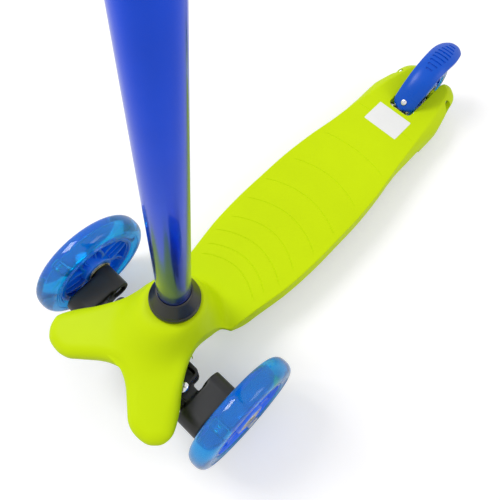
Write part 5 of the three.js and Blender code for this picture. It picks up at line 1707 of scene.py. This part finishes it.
@dataclass
class FrontCorner:
    """A knuckle with its axle, nut and washer, on one side."""

    side: Side
    axle: Point2 = (WHEEL_PLACE[1], WHEEL_PLACE[2])
    drum: Point2 = (-52.0, 54.0)
    barrel_radius: float = 11.0
    drum_radius: float = 16.0
    inner: float = 63.0
    outer: float = 88.0
    barrel_inner: float = 62.0
    barrel_outer: float = 89.7
    ring_inner: float = 9.5
    ring_outer: float = 11.5
    ring_height: float = 0.9
    eye_radius: float = 9.0
    neck_half: float = 7.2
    eye_low: float = 52.3
    eye_high: float = 64.7
    arm_half: float = 4.5
    arm_top: float = 59.7
    pin_radius: float = 2.5
    pin_top: float = 64.0
    gusset_front: float = -61.0
    nut_room_radius: float = 7.3
    nut_room_end: float = 74.0

    def outline(self) -> list[Point2]:
        """Return the knuckle seen from the side: a barrel behind and a drum ahead."""
        dy, dz = self.drum[0] - self.axle[0], self.drum[1] - self.axle[1]
        base = math.atan2(dz, dy)
        turn = math.acos((self.barrel_radius - self.drum_radius) / math.hypot(dy, dz))
        barrel = arc(self.axle, self.barrel_radius, base - 2 * math.pi + turn, base - turn, 40)
        return [*barrel, *arc(self.drum, self.drum_radius, base - turn, base + turn, 48)]

    def shape(self) -> Form:
        """Return the knuckle: drum, thinner web, barrel, eye and steering arm."""
        px, py = KINGPIN
        web = prism(self.outline(), self.inner, self.outer, 2.0, 4).moved(SIDEWAYS)
        to_drum, to_axle = at(0, *self.drum) @ ALONG_X, at(0, *self.axle) @ ALONG_X
        rings = [tube(self.ring_inner, self.ring_outer, low, high, 0.4, 72).moved(to_drum)
                 for low, high in ((self.outer - 2, self.outer + self.ring_height),
                                   (self.inner - self.ring_height, self.inner + 2))]
        gusset = prism([(px, self.gusset_front), (self.inner + 4, self.gusset_front + 2),
                        (self.inner + 4, py), (px, py)], self.eye_low, self.arm_top, 0.6)
        barrel = rod(self.barrel_radius, self.barrel_inner, self.barrel_outer, 0.9, 72).moved(to_axle)
        eye = rod(self.eye_radius, self.eye_low, self.eye_high, 0.7, 64).moved(at(px, py, 0))
        neck = block((px, py - self.neck_half, self.eye_low),
                     (self.inner + 4.5, py + self.neck_half, self.eye_high), 0.7, 0.5)
        half, end = self.arm_half, at(px, TIE_LINE, 0)
        arm = block((px - half, TIE_LINE, self.eye_low), (px + half, py, self.arm_top), 0.6, 0.5)
        tip = rod(half, self.eye_low, self.arm_top, 0.6, 40).moved(end)
        head = web.plus(*rings, barrel).moved(CAMBER)
        body = melted(head.plus(eye, neck, arm, tip, gusset), 0.75, 5, 0.55)
        pin = rod(self.pin_radius, self.eye_low + 2, self.pin_top, 0.4, 32).moved(end)
        axle = drill(BORE, 0, 130, 40).moved(CAMBER @ to_axle)
        recess = drill(self.nut_room_radius, 0, self.nut_room_end, 48).moved(CAMBER @ to_axle)
        bore = drill(BORE, 0, 120, 40).moved(at(px, py, 0))
        return combined(combined(body, Join.UNION, pin), Join.CUT, axle, recess, bore)

    def build(self) -> None:
        """Make and dress the corner's pieces."""
        body = Body.KNUCKLE_LEFT if self.side is Side.LEFT else Body.KNUCKLE_RIGHT
        place = CAMBER @ at(0, *self.axle) @ ALONG_X
        bolt = Bolt(diameter=8.0, end=63.7, seat=114.0, head=13.0, head_height=2.8).hexagon().moved(place)
        locknut = nut(hole=2 * BORE, low=66.7, height=7.0, across=14.0).moved(place)
        washer = tube(BORE, 12.0, low=90.0, high=91.4, edge=0.25, steps=72).moved(place)
        rows = (("knuckle_casting", self.shape(), Palette.FRAME, "knuckle"),
                ("axle_screw", bolt, Palette.ZINC, "axle_bolt"),
                ("axle_locknut", locknut, Palette.ZINC, "axle_nut"),
                ("axle_shim", washer, Palette.BRASS, "axle_washer"))
        for name, form, finish, node in rows:
            word = self.side.word
            piece(f"{name}_{word}", form.mirrored(self.side), finish, body, [f"{node}_{word}"])


@dataclass
class Steering:
    """The leaning beam with its kingpins and springs, the tie rod, the lean pin and the cover strip."""

    half_width: float = 53.0
    low: float = 45.0
    high: float = 71.0
    front: float = 56.0
    rear: float = 24.5
    corner: float = 6.0
    eye_low: float = 52.0
    eye_high: float = 65.0
    rim: float = 2.6
    rim_height: float = 0.8
    tie_radius: float = 5.4
    tie_low: float = 60.0
    tie_high: float = 64.0
    cover_low: float = 39.5

    def beam(self) -> Form:
        """Return the beam, forked round the knuckles' eyes, with a raised rim on its top."""
        half, corner = self.half_width, self.corner
        side = [(half * 0.7, -self.front), (half * 0.88, -self.front + corner), (half, KINGPIN[1]),
                *arc((half - corner, -self.rear - corner), corner, 0, math.pi / 2, 8), (23, -self.rear),
                (21, -30.3)]
        outline = filleted([*side, *[(-x, y) for x, y in reversed(side)]], 1.5, 2)
        body = prism(outline, self.low, self.high, 0.9)
        inner = inset(ccw(outline), self.rim)
        dip = prism([tuple(p) for p in inner], self.high - self.rim_height, self.high + 2, 0.3, 2)
        tools: list[Form] = []
        for sign in Side:
            x0, x1 = sign.span(half * 0.68, 90)
            tools.append(block((x0, -100, self.eye_low), (x1, 0, self.eye_high)))
            tools.append(drill(BORE, 0, 120, 40).moved(at(sign.value * KINGPIN[0], KINGPIN[1], 0)))
        pin = drill(BORE, -120, 0, 40).moved(at(0, 0, LEAN_HEIGHT) @ ALONG_Y)
        pads = [rod(radius, self.high - 1.4, self.high, 0.3, 48).moved(at(sign.value * x, y, 0))
                for sign in Side for radius, (x, y) in ((7.4, KINGPIN), (7.0, SPRING_PLACE))]
        body = combined(combined(body, Join.CUT, dip), Join.UNION, *pads)
        body = combined(body, Join.COMMON, prism(outline, self.low - 1, self.high + 1, 0))
        return combined(body, Join.CUT, *tools, pin)

    def tie_rod(self) -> Form:
        """Return the flat tie rod with an eye at each end."""
        px, turn = KINGPIN[0], 2.2
        left = arc((px, TIE_LINE), self.tie_radius, -turn, turn, 24)
        right = arc((-px, TIE_LINE), self.tie_radius, math.pi - turn, math.pi + turn, 24)
        body = prism([*left, *right], self.tie_low, self.tie_high, 0.6)
        holes = [drill(3.5, 50, 80).moved(at(sign.value * px, TIE_LINE, 0)) for sign in Side]
        groove = block((-px + 9, TIE_LINE - 1.2, self.tie_high - 0.6),
                       (px - 9, TIE_LINE + 1.2, self.tie_high + 2), 0.3, 0.4)
        return combined(body, Join.CUT, *holes, groove)

    def cover(self) -> Form:
        """Return the strip under the lean pin with its two screw holes."""
        half, front, rear = Deck.pin_wall_half, Deck.pin_wall_front[0], Deck.pin_wall_rear[1]
        top = Deck.pin_wall_bottom - TOUCH_GAP
        plate = block((-half, front, self.cover_low), (half, rear, top), 0.5, 2.0)
        holes = [drill(1.8, 0, 60).moved(at(0, y, 0)) for y in COVER_SCREWS]
        return combined(plate, Join.CUT, *holes)

    def build(self) -> None:
        """Make and dress the steering's pieces."""
        piece("leaning_beam", self.beam(), Palette.FRAME, Body.BEAM, ["steering_beam"])
        piece("tie_bar", self.tie_rod(), Palette.FRAME, Body.TIE_ROD, ["tie_rod"])
        seat, spring_top = self.high + TOUCH_GAP, Deck.spring_seat_height - TOUCH_GAP
        for side in Side:
            (pin_x, pin_y), (x, y), word = KINGPIN, SPRING_PLACE, side.word
            pin = Bolt(diameter=8.0, end=45.3, seat=seat, head=9.8, head_height=3.0).screw()
            pin = pin.moved(at(side.value * pin_x, pin_y, 0))
            piece(f"kingpin_screw_{word}", pin, Palette.SCREW, Body.BEAM, [f"kingpin_{word}"])
            spring = coil(4.5, 2.0, seat, spring_top, curls=4).moved(at(side.value * x, y, 0))
            piece(f"return_spring_{word}", spring, Palette.ZINC, Body.BEAM, [f"centring_spring_{word}"])
        turn = at(0, 0, LEAN_HEIGHT) @ ALONG_Y @ Matrix.Rotation(math.pi, 4, "X")
        pin = Bolt(diameter=8.0, end=25.0, seat=69.6, head=13.0, head_height=2.2).hexagon().moved(turn)
        piece("pivot_bolt", pin, Palette.ZINC, Body.DECK, ["lean_pin"])
        piece("cover_strip", self.cover(), Palette.SOFT, Body.DECK, ["nose_cover"])
        for name, y in zip(("front", "rear"), COVER_SCREWS):
            turn = at(0, y, self.cover_low - TOUCH_GAP) @ Matrix.Rotation(math.pi, 4, "X")
            screw = Bolt(diameter=3.0, end=-7.0, seat=0.0, head=7.0, head_height=2.4).screw().moved(turn)
            piece(f"cover_fixing_{name}", screw, Palette.ZINC, Body.DECK, [f"cover_screw_{name}"])


# Column, clamp and handlebar, drawn along the column from the top of the boss


@dataclass
class Column:
    """The lower tube with its collar, plug, lock button, clamp and quick-release lever."""

    radius: float = 14.0
    inner: float = 12.5
    depth: float = 54.0
    top: float = 372.0
    plug_top: float = -33.0
    spring_foot: float = -9.075
    clamp_low: float = 350.0
    clamp_high: float = 378.0
    clamp_outer: float = 18.3
    ear_middle: float = 24.3
    ear_half: float = 6.5
    ear_ends: Point2 = (16.3, 30.3)
    ear_bore: float = 2.8
    slit_half: float = 1.5
    cam_x: float = 11.8
    cam_radius: float = 5.0
    lever_half: float = 7.0
    slot_half: float = 2.8
    arm_inner: float = 19.2
    arm_outer: float = 22.4
    arm_length: float = 40.0

    @property
    def clamp_middle(self) -> float:
        """Return the clamp's middle height."""
        return (self.clamp_low + self.clamp_high) / 2

    def collar(self) -> Form:
        """Return the rubber collar: a side with a thin joint line and a long cone."""
        low = [(14.3, 0.3), (21.7, 0.3), (21.9, 0.9), (22.2, 1.2), (22.3, 1.6), (22.3, 5.9), (22.15, 6.4),
               (21.7, 6.7), (21.0, 6.9), (20.9, 7.3)]
        cone = [(21.2, 7.7), (21.5, 8.1), (21.5, 9.2), (20.9, 10.3), (15.9, 21.3), (15.6, 21.9),
                (15.1, 22.6), (14.3, 22.9)]
        return lathe([*low, *cone], 120)

    def tube(self) -> Form:
        """Return the lower tube with the button's hole."""
        body = tube(self.inner, self.radius, -self.depth, self.top, 0.35, 120)
        return combined(body, Join.CUT, drill(BORE, 0, 30, 40).moved(BUTTON_AXIS))

    def plug(self) -> Form:
        """Return the plug in the tube's foot with the button's well."""
        body = rod(12.2, -self.depth, self.plug_top, 0.6, 72)
        well = drill(BORE, self.spring_foot - TOUCH_GAP, 30, 40).moved(BUTTON_AXIS)
        return combined(body, Join.CUT, well)

    def clamp(self) -> Form:
        """Return the clamp: a band with two ears behind it and a slit."""
        bore, lip = self.radius + TOUCH_GAP, self.top + TOUCH_GAP
        band = turned([(bore, self.clamp_low), (self.clamp_outer, self.clamp_low),
                       (self.clamp_outer, self.clamp_high), (self.inner, self.clamp_high), (self.inner, lip),
                       (bore, lip)], 0.9, 96)
        half, (front, rear), slit_half = self.ear_half, self.ear_ends, self.slit_half
        ears = block((-half, front, self.clamp_low + 4), (half, rear, self.clamp_high - 4), 1.0, 1.8)
        slit = block((-slit_half, 0, self.clamp_low - 5), (slit_half, 60, self.clamp_high + 5))
        core = drill(bore, self.clamp_low - 2, lip, 96)
        bolt = drill(self.ear_bore, -40, 40).moved(at(0, self.ear_middle, self.clamp_middle) @ ALONG_X)
        joined = combined(band, Join.UNION, ears)
        return combined(joined, Join.CUT, core, slit, bolt)

    def cross_bolt(self) -> Form:
        """Return the bolt through the ears with its cross pin."""
        shank = rod(2.5, -11.8, self.cam_x, 0.4, 40).moved(ALONG_X)
        pin = rod(2.0, -8.0, 8.0, 0.4, 32).moved(at(self.cam_x, 0, 0))
        return combined(shank, Join.UNION, pin).moved(at(0, self.ear_middle, self.clamp_middle))

    def lever(self) -> Form:
        """Return the lever: a cam with a slim arm that lies along the clamp."""
        r, x, y = self.cam_radius, self.cam_x, self.ear_middle
        arm_x, outer_x, end = self.arm_inner, self.arm_outer, y - self.arm_length
        outline = [(x - r * 0.2, y + r * 0.97), (x - r * 0.2, y - r * 0.9), (arm_x - 0.4, y - r * 1.8),
                   (arm_x, y - r * 2.4), (arm_x, end), (arm_x + 0.6, end - 2.6), (outer_x, end - 3.0),
                   (outer_x, y - r), (outer_x - 1.6, y - r * 0.2), (x + r * 0.7, y + r * 0.75)]
        half, slot_half = self.lever_half, self.slot_half
        arm = prism(filleted(outline, 2.0, 4), -half, half, 1.1)
        cam = rod(r, -half, half, 0.6, 56).moved(at(x, y, 0))
        bore = drill(2.3, -20, 20).moved(at(x, y, 0))
        slot = block((x - 10, y - slot_half, -slot_half), (x + slot_half * 1.6, y + 10, slot_half))
        body = combined(combined(arm, Join.UNION, cam), Join.CUT, bore, slot)
        return body.moved(at(0, 0, self.clamp_middle))

    def build(self) -> None:
        """Make and dress the column's pieces."""
        middle = at(0, self.ear_middle, self.clamp_middle)
        spring = coil(2.4, 0.9, self.spring_foot, 3.7, 4).moved(BUTTON_AXIS)
        button = rod(4.0, 4.0, 21.0, 0.8, 48).moved(BUTTON_AXIS)
        fixing = nut(hole=2 * self.ear_bore, low=6.8, height=4.0, across=10.0)
        fixing = fixing.moved(ALONG_X).mirrored(Side.RIGHT).moved(middle)
        rows = (("boss_collar", self.collar(), Palette.SOFT, Body.DECK, "column_collar"),
                ("column_tube", self.tube(), Palette.COLUMN, Body.DECK, "lower_tube"),
                ("foot_plug", self.plug(), Palette.FRAME, Body.DECK, "bottom_plug"),
                ("button_spring", spring, Palette.ZINC, Body.DECK, "lock_spring"),
                ("push_button", button, Palette.ZINC, Body.BUTTON, "lock_button"),
                ("clamp_band", self.clamp(), Palette.FRAME, Body.DECK, "clamp_collar"),
                ("clamp_cross_bolt", self.cross_bolt(), Palette.ZINC, Body.DECK, "clamp_bolt"),
                ("clamp_fixing_nut", fixing, Palette.ZINC, Body.DECK, "clamp_nut"),
                ("quick_release", self.lever(), Palette.FRAME, Body.LEVER, "clamp_lever"))
        for name, form, finish, body, node in rows:
            piece(name, form.moved(COLUMN), finish, body, [node])


@dataclass
class Handlebar:
    """The sliding upper tube with its tee, crossbar and two rubber grips."""

    level: float = 510.0
    tube_low: float = 230.0
    tube_inner: float = 10.7
    tube_outer: float = 12.2
    bar_inner: float = 9.5
    bar_radius: float = 11.0
    bar_half: float = 131.0
    tee_half: float = 32.0
    tee_drop: float = 40.3
    stem_radius: float = 15.9
    sleeve_radius: float = 14.7
    grip_rings: int = 19
    grip_start: float = 39.0
    grip_radius: float = 15.5
    guard_radius: float = 21.0
    grip_end: float = 135.0

    def tee(self) -> Form:
        """Return the tee that joins the tube to the crossbar, with soft roots."""
        across = at(0, 0, self.level) @ ALONG_X
        stem = rod(self.stem_radius, self.level - self.tee_drop, self.level, 1.0, 72)
        sleeve = rod(self.sleeve_radius, -self.tee_half, self.tee_half, 1.0, 72).moved(across)
        body = melted(stem.plus(sleeve), 0.9, 6, 0.5)
        low = drill(self.tube_outer + TOUCH_GAP, self.level - 60, self.level - self.bar_radius / 2, 72)
        bar = drill(self.bar_radius + TOUCH_GAP, -60, 60, 72).moved(across)
        return combined(body, Join.CUT, low, bar)

    def grip(self) -> Form:
        """Return a grip with a guard at each end and shallow rings for the hand."""
        inner, radius, guard = self.bar_radius + TOUCH_GAP, self.grip_radius, self.guard_radius
        start, end = self.grip_start, self.grip_end
        profile = [(inner, start), (guard * 0.9, start), (guard * 0.98, start + 0.6), (guard, start + 1.6),
                   (guard, start + 2.4), (guard * 0.98, start + 3.4), (guard * 0.9, start + 4.0),
                   (radius * 1.02, start + 5.2), (radius * 0.92, start + 7.2)]
        count = self.grip_rings
        first, last = start + 9.0, end - 9.0
        pitch = (last - first) / count
        ring = ((0.7, -0.5), (0.7, -0.32), (0.1, -0.22), (0.0, 0.0), (0.1, 0.22), (0.7, 0.32))
        for k in range(count):
            middle = first + (k + 0.5) * pitch
            swell = radius * (0.925 + 0.075 * math.sin(math.pi * (k + 0.5) / count))
            profile += [(swell - sunk, middle + pitch * along) for sunk, along in ring]
        profile += [(radius * 0.90, end - 7.4), (radius * 0.98, end - 5.2), (guard * 0.86, end - 3.9),
                    (guard * 0.9, end - 3.0), (guard * 0.9, end - 1.4), (guard * 0.85, end - 0.5),
                    (guard * 0.7, end), (0, end), (0, self.bar_half + TOUCH_GAP),
                    (inner, self.bar_half + TOUCH_GAP)]
        return lathe(profile, 72).moved(ALONG_X)

    def build(self) -> None:
        """Make and dress the handlebar's pieces."""
        tube_top = self.level - self.bar_radius - 2 * TOUCH_GAP
        upper = tube(self.tube_inner, self.tube_outer, self.tube_low, tube_top, 0.35, 96)
        bar = tube(self.bar_inner, self.bar_radius, -self.bar_half, self.bar_half, 0.3, 96).moved(ALONG_X)
        level, grip = at(0, 0, self.level), self.grip()
        rows = [("inner_tube", upper, Palette.CHROME, "upper_tube"),
                ("bar_tee", self.tee(), Palette.FRAME, "handlebar_tee"),
                ("hand_bar", bar.moved(level), Palette.CHROME, "crossbar")]
        for side in Side:
            form, word = grip.mirrored(side).moved(level), side.word
            rows.append((f"hand_grip_{word}", form, Palette.GRIP, f"grip_{word}"))
        for name, form, finish, node in rows:
            piece(name, form.moved(COLUMN), finish, Body.HANDLEBAR, [node])


# Brake


@dataclass
class Brake:
    """The foot brake: a ribbed fender on a steel bracket, its pin, screw and spring."""

    wheel_radius: float = 38.0
    width_front: float = 28.4
    width_rear: float = 33.0
    wall: float = 2.4
    skirt: float = 8.0
    crown: float = 4.6
    crown_power: float = 2.7
    roof: float = 5.0
    tip_share: float = 0.7
    tip_width: float = 0.27
    front_share: float = 0.09
    groove_start: float = 0.455
    groove_step: float = 0.052
    groove_half: float = 1.25
    groove_depth: float = 1.1
    grooves: int = 9
    screw_share: float = 0.075
    screw_bore: float = 1.8
    sheet: float = 1.5
    lug_outer: float = 10.0
    lug_inner: float = 7.5
    lug_radius: float = 5.5
    shares: tuple[Point2, ...] = (
        (-1.395, 0.21), (-1.263, 0.4), (-1.0, 0.74), (-0.658, 1.03), (-0.263, 1.22),
        (0.132, 1.29), (0.526, 1.276), (0.895, 1.21), (1.158, 1.12), (1.29, 1.02))
    line: np.ndarray = field(init=False)
    lengths: np.ndarray = field(init=False)

    def __post_init__(self) -> None:
        """Draw the fender's top line once."""
        (y, z), radius = REAR_AXLE, self.wheel_radius
        points = [(y + a * radius, z + b * radius) for a, b in self.shares]
        self.line = spline(points, 24, power=0.0, drawn_out=False)
        steps = np.linalg.norm(np.diff(self.line, axis=0), axis=1)
        self.lengths = np.concatenate(([0.0], np.cumsum(steps)))

    def on_line(self, share: float) -> tuple[np.ndarray, np.ndarray]:
        """Return the point and the direction at a share of the line's length.

        Args:
            share: 0 at the front, 1 at the rear.

        Returns:
            The point and the unit direction, both in (y, z).
        """
        total = self.lengths[-1]
        here = share * total
        lengths = (here, min(here + 0.5, total), max(here - 0.5, 0.0))
        found = [np.interp(lengths, self.lengths, self.line[:, k]) for k in (0, 1)]
        point, after, before = np.column_stack(found)
        return point, (after - before) / np.linalg.norm(after - before)

    def below(self, share: float, down: float) -> Point2:
        """Return the place in (y, z) that lies square below the line at a share of its length."""
        point, ahead = self.on_line(share)
        return point[0] + ahead[1] * down, point[1] - ahead[0] * down

    def strip(self, start: float, end: float, steps: int,
              section: Callable[[float], Sequence[Point2]]) -> Form:
        """Run a changing section along the line.

        Args:
            start: The first share.
            end: The last share.
            steps: The number of steps.
            section: Gives points of (across, down) for a share.

        Returns:
            The strip.
        """
        places = start + (end - start) * (1 - (1 - np.linspace(0, 1, steps + 1)) ** 1.6)
        rings = [np.array([(x, *self.below(share, down)) for x, down in section(share)]) for share in places]
        return outward(skin(rings))

    def section(self, share: float) -> list[Point2]:
        """Return the fender's section: a crowned roof with two skirts.

        Args:
            share: Where it is along the line, 0 at the front and 1 at the rear.

        Returns:
            Points of (across, down).
        """
        half = (self.width_front + (self.width_rear - self.width_front) * min(1.0, share * 1.4)) / 2
        into_tip = min(1.0, max(0.0, (share - self.tip_share) / (1 - self.tip_share)))
        ends = self.tip_width + (1 - self.tip_width) * math.sqrt(1 - into_tip ** 2)
        front = 0.45 + 0.55 * math.sqrt(1 - max(0.0, 1 - share / self.front_share) ** 2)
        crown = self.crown * (0.35 + 0.65 * ends)
        skirt = max(self.skirt * (0.35 + 0.65 * min(1.0, share * 5)) * ends, crown + 0.6)
        side = half * ends * front
        inner = side - self.wall
        roof = self.roof
        outer = []
        for a in np.linspace(-1, 1, 25):
            across = abs(a) ** 0.85
            outer.append((side * math.copysign(across, a), crown * across ** self.crown_power))
        left = [(-side, skirt), (-side, (skirt + crown) / 2), *outer, (side, (skirt + crown) / 2),
                (side, skirt)]
        under = [(inner, skirt), (inner, roof + 1.2), (inner - 0.4, roof + 0.35), (inner - 1.4, roof),
                 (-inner + 1.4, roof), (-inner + 0.4, roof + 0.35), (-inner, roof + 1.2), (-inner, skirt)]
        return [*left, *under]

    def fender(self) -> Form:
        """Return the fender with its sunk cross ribs."""
        body = self.strip(0.0, 1.0, 150, self.section)
        tools = [self.at_share(self.screw_share, drill(self.screw_bore, -9, 9))]
        for k in range(self.grooves):
            reach = 4.2 + 5.2 * math.sin(math.pi * k / (self.grooves - 1))
            floor = [(x, self.crown * abs(x / self.width_rear * 2) ** self.crown_power + self.groove_depth)
                     for x in np.linspace(-reach, reach, 21)]
            corners = [*floor, (reach, -6.0), (-reach, -6.0)]
            groove = prism(filleted(corners, 0.5, 3), -self.groove_half, self.groove_half, 0.4, 2)
            tools.append(self.at_share(self.groove_start + self.groove_step * k, groove.moved(ALONG_Y)))
        return combined(body, Join.CUT, *tools)

    def at_share(self, share: float, form: Form) -> Form:
        """Place a form on the line, its Z square to it.

        Args:
            share: 0 at the line's front, 1 at its rear.
            form: The form, drawn round the origin.

        Returns:
            The placed form.
        """
        point, ahead = self.on_line(share)
        return form.moved(at(0, *point) @ Matrix.Rotation(math.atan2(ahead[1], ahead[0]), 4, "X"))

    def bracket(self) -> Form:
        """Return the folded steel bracket with its two lugs."""
        top, half = self.roof + TOUCH_GAP, self.lug_outer
        flat = [(-half, top + self.sheet), (-half, top), (half, top), (half, top + self.sheet)]
        plate = self.strip(0.03, 0.15, 24, lambda _: flat)
        line = [*arc(BRAKE_PIVOT, self.lug_radius, math.radians(150), math.radians(360), 36),
                *[self.below(share, top + self.sheet / 2) for share in (0.14, 0.12, 0.085, 0.06, 0.039)]]
        lugs = []
        for side in Side:
            lugs.append(prism(line, *side.span(self.lug_inner, self.lug_outer), 0.3, 2).moved(SIDEWAYS))
        bore = drill(BRAKE_BORE, -40, 40, 40).moved(at(0, *BRAKE_PIVOT) @ ALONG_X)
        body = combined(plate, Join.UNION, *lugs)
        screw = self.at_share(self.screw_share, drill(self.screw_bore, -20, 9))
        return combined(body, Join.CUT, bore, screw)

    def build(self) -> None:
        """Make and dress the brake's pieces."""
        piece("ribbed_fender", self.fender(), Palette.FENDER, Body.BRAKE, ["brake_fender"])
        piece("fender_bracket", self.bracket(), Palette.ZINC, Body.BRAKE, ["brake_bracket"])
        screw = Bolt(diameter=3.0, end=-7.2, seat=TOUCH_GAP, head=7.0, head_height=2.1).screw()
        screw = self.at_share(self.screw_share, screw)
        piece("fender_screw", screw, Palette.SCREW, Body.BRAKE, ["brake_screw"])
        pin = rod(BRAKE_BORE - TOUCH_GAP, -21.1, 21.1, 0.5, 40).moved(at(0, *BRAKE_PIVOT) @ ALONG_X)
        piece("brake_pivot_pin", pin, Palette.ZINC, Body.DECK, ["brake_pin"])


@dataclass
class RearAxle:
    """The rear wheel's bolt and nut in the cheeks' recesses."""

    seat: float = 32.3
    end: float = -36.0
    across: float = 12.0

    def build(self) -> None:
        """Make and dress the bolt and the nut."""
        place = at(0, *REAR_AXLE)
        bolt = Bolt(diameter=8.0, end=self.end, seat=self.seat, head=self.across, head_height=2.4)
        bolt = bolt.hexagon().moved(ALONG_X).moved(place)
        piece("rear_axle_screw", bolt, Palette.ZINC, Body.DECK, ["rear_axle_bolt"])
        locknut = nut(hole=2 * BORE, low=self.seat, height=4.0, across=self.across)
        locknut = locknut.moved(ALONG_X).mirrored(Side.RIGHT).moved(place)
        piece("rear_locknut", locknut, Palette.ZINC, Body.DECK, ["rear_axle_nut"])


def dress(node: str, finish: Palette) -> None:
    """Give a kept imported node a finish.

    Args:
        node: The node's name.
        finish: Its finish.
    """
    kept = bpy.data.objects[node]
    for slot in kept.material_slots:
        slot.material = finish.value.material()


# Camera, light and backdrop


@dataclass
class Stage:
    """A pale floor, a white surround, soft lights and the photograph's view."""

    place: tuple[float, float, float] = (0.1186, -0.24629, 0.5237)
    ahead: tuple[float, float, float] = (-0.23446, 0.31554, -0.91949)
    up: tuple[float, float, float] = (-0.64177, 0.66021, 0.39020)
    lens: float = 35.47
    sensor: float = 36.0
    floor_half: float = 6.0
    floor_glow: float = 0.3
    diffuse_light: float = 0.62
    aim: tuple[float, float, float] = (0.0, 0.0, 0.1)

    def camera(self) -> None:
        """Place the camera as the photograph's."""
        data = bpy.data.cameras.new("camera")
        data.lens = self.lens
        data.sensor_width = self.sensor
        data.clip_start = 0.01
        holder = added("camera", data)
        back, up = -Vector(self.ahead).normalized(), Vector(self.up).normalized()
        right = up.cross(back).normalized()
        up = back.cross(right)
        turn = Matrix((right, up, back)).transposed().to_4x4()
        holder.matrix_world = Matrix.Translation(self.place) @ turn
        bpy.context.scene.camera = holder
        holder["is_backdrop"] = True

    def panel(self, name: str, place: Sequence[float], size: float, power: float) -> None:
        """Hang a square soft light that points at the scooter.

        Args:
            name: Its name.
            place: Where it is.
            size: Its width and height.
            power: Its power in watts.
        """
        data = bpy.data.lights.new(name, "AREA")
        data.shape = "RECTANGLE"
        data.size = data.size_y = size
        data.energy = power
        holder = added(name, data)
        holder.location = place
        way = Vector(self.aim) - Vector(place)
        holder.rotation_mode = "QUATERNION"
        holder.rotation_quaternion = way.to_track_quat("-Z", "Y")
        holder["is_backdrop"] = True

    def floor(self) -> None:
        """Lay a wide pale floor that keeps the shadow."""
        mesh = bpy.data.meshes.new("floor")
        wide = self.floor_half
        mesh.from_pydata([(x, y, 0) for x, y in rectangle(-wide, wide, -wide, wide)], [], [(0, 1, 2, 3)])
        holder = added("floor", mesh)
        material = bpy.data.materials.new("floor")
        material.use_nodes = True
        graph = Graph(material)
        tint = graph.mix(graph.noise(3.0), (0.81, 0.80, 0.805, 1), (0.83, 0.82, 0.825, 1))
        graph.link(tint, graph.shader.inputs["Base Color"])
        graph.set({"Roughness": 0.8, "Specular IOR Level": 0.0, "Emission Color": (1, 1, 1, 1)})
        seen = graph.nodes.new("ShaderNodeLightPath").outputs["Is Camera Ray"]
        graph.link(graph.math("MULTIPLY", seen, self.floor_glow), graph.shader.inputs["Emission Strength"])
        mesh.materials.append(material)
        holder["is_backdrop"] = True

    def world(self) -> None:
        """Make a white surround for what looks straight at it and a softer one for diffuse light."""
        world = bpy.data.worlds.new("surround")
        bpy.context.scene.world = world
        world.use_nodes = True
        nodes, links = world.node_tree.nodes, world.node_tree.links
        back = nodes["Background"]
        back.inputs["Color"].default_value = (1, 1, 1, 1)
        path = nodes.new("ShaderNodeLightPath").outputs
        seen = path["Is Camera Ray"]
        for kind in ("Is Transmission Ray", "Is Glossy Ray"):
            either = nodes.new("ShaderNodeMath")
            either.operation = "MAXIMUM"
            links.new(seen, either.inputs[0])
            links.new(path[kind], either.inputs[1])
            seen = either.outputs["Value"]
        strength = nodes.new("ShaderNodeMapRange")
        strength.inputs["To Min"].default_value = self.diffuse_light
        strength.inputs["To Max"].default_value = 1.0
        links.new(seen, strength.inputs["Value"])
        links.new(strength.outputs["Result"], back.inputs["Strength"])

    def build(self) -> None:
        """Set up the camera, the lights, the floor and the surround."""
        scene = bpy.context.scene
        scene.view_settings.view_transform = "Standard"
        self.camera()
        self.floor()
        self.world()
        self.panel("key", (-1.1, -0.5, 1.5), size=0.7, power=16)
        self.panel("fill", (1.2, 0.7, 1.2), size=0.8, power=5)


def write_sizes() -> None:
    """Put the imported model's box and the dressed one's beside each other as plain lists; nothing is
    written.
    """
    boxes = {"cad": CAD_BOUNDS, "visual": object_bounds()}
    plain = {name: [[float(v) for v in corner] for corner in box] for name, box in boxes.items()}


def clear_start_scene() -> None:
    """Remove the objects that a new scene starts with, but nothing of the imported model."""
    for name in ("Cube", "Light", "Camera"):
        found = bpy.data.objects.get(name)
        if found:
            bpy.data.objects.remove(found)


def main() -> None:
    """Build the scooter, piece by piece, then the stage."""
    logging.basicConfig(level=logging.INFO, format="%(name)s: %(message)s")
    clear_start_scene()
    Deck().build()
    for side in Side:
        FrontCorner(side).build()
        body = Body.WHEEL_LEFT if side is Side.LEFT else Body.WHEEL_RIGHT
        x, y, z = WHEEL_PLACE
        Wheel(f"front_{side.word}", body, (side.value * x, y, z), diameter=120.0, width=22.0, rim=84.0,
              lit=True, lean=-side.value * WHEEL_LEAN).build()
    Wheel("rear", Body.WHEEL_REAR, (0.0, *REAR_AXLE), diameter=76.0, width=24.0, rim=50.0, lit=False).build()
    RearAxle().build()
    Steering().build()
    Column().build()
    Handlebar().build()
    Brake().build()
    dress("brake_spring", Palette.ZINC)
    Stage().build()
    write_sizes()


if __name__ == "__main__":
    main()
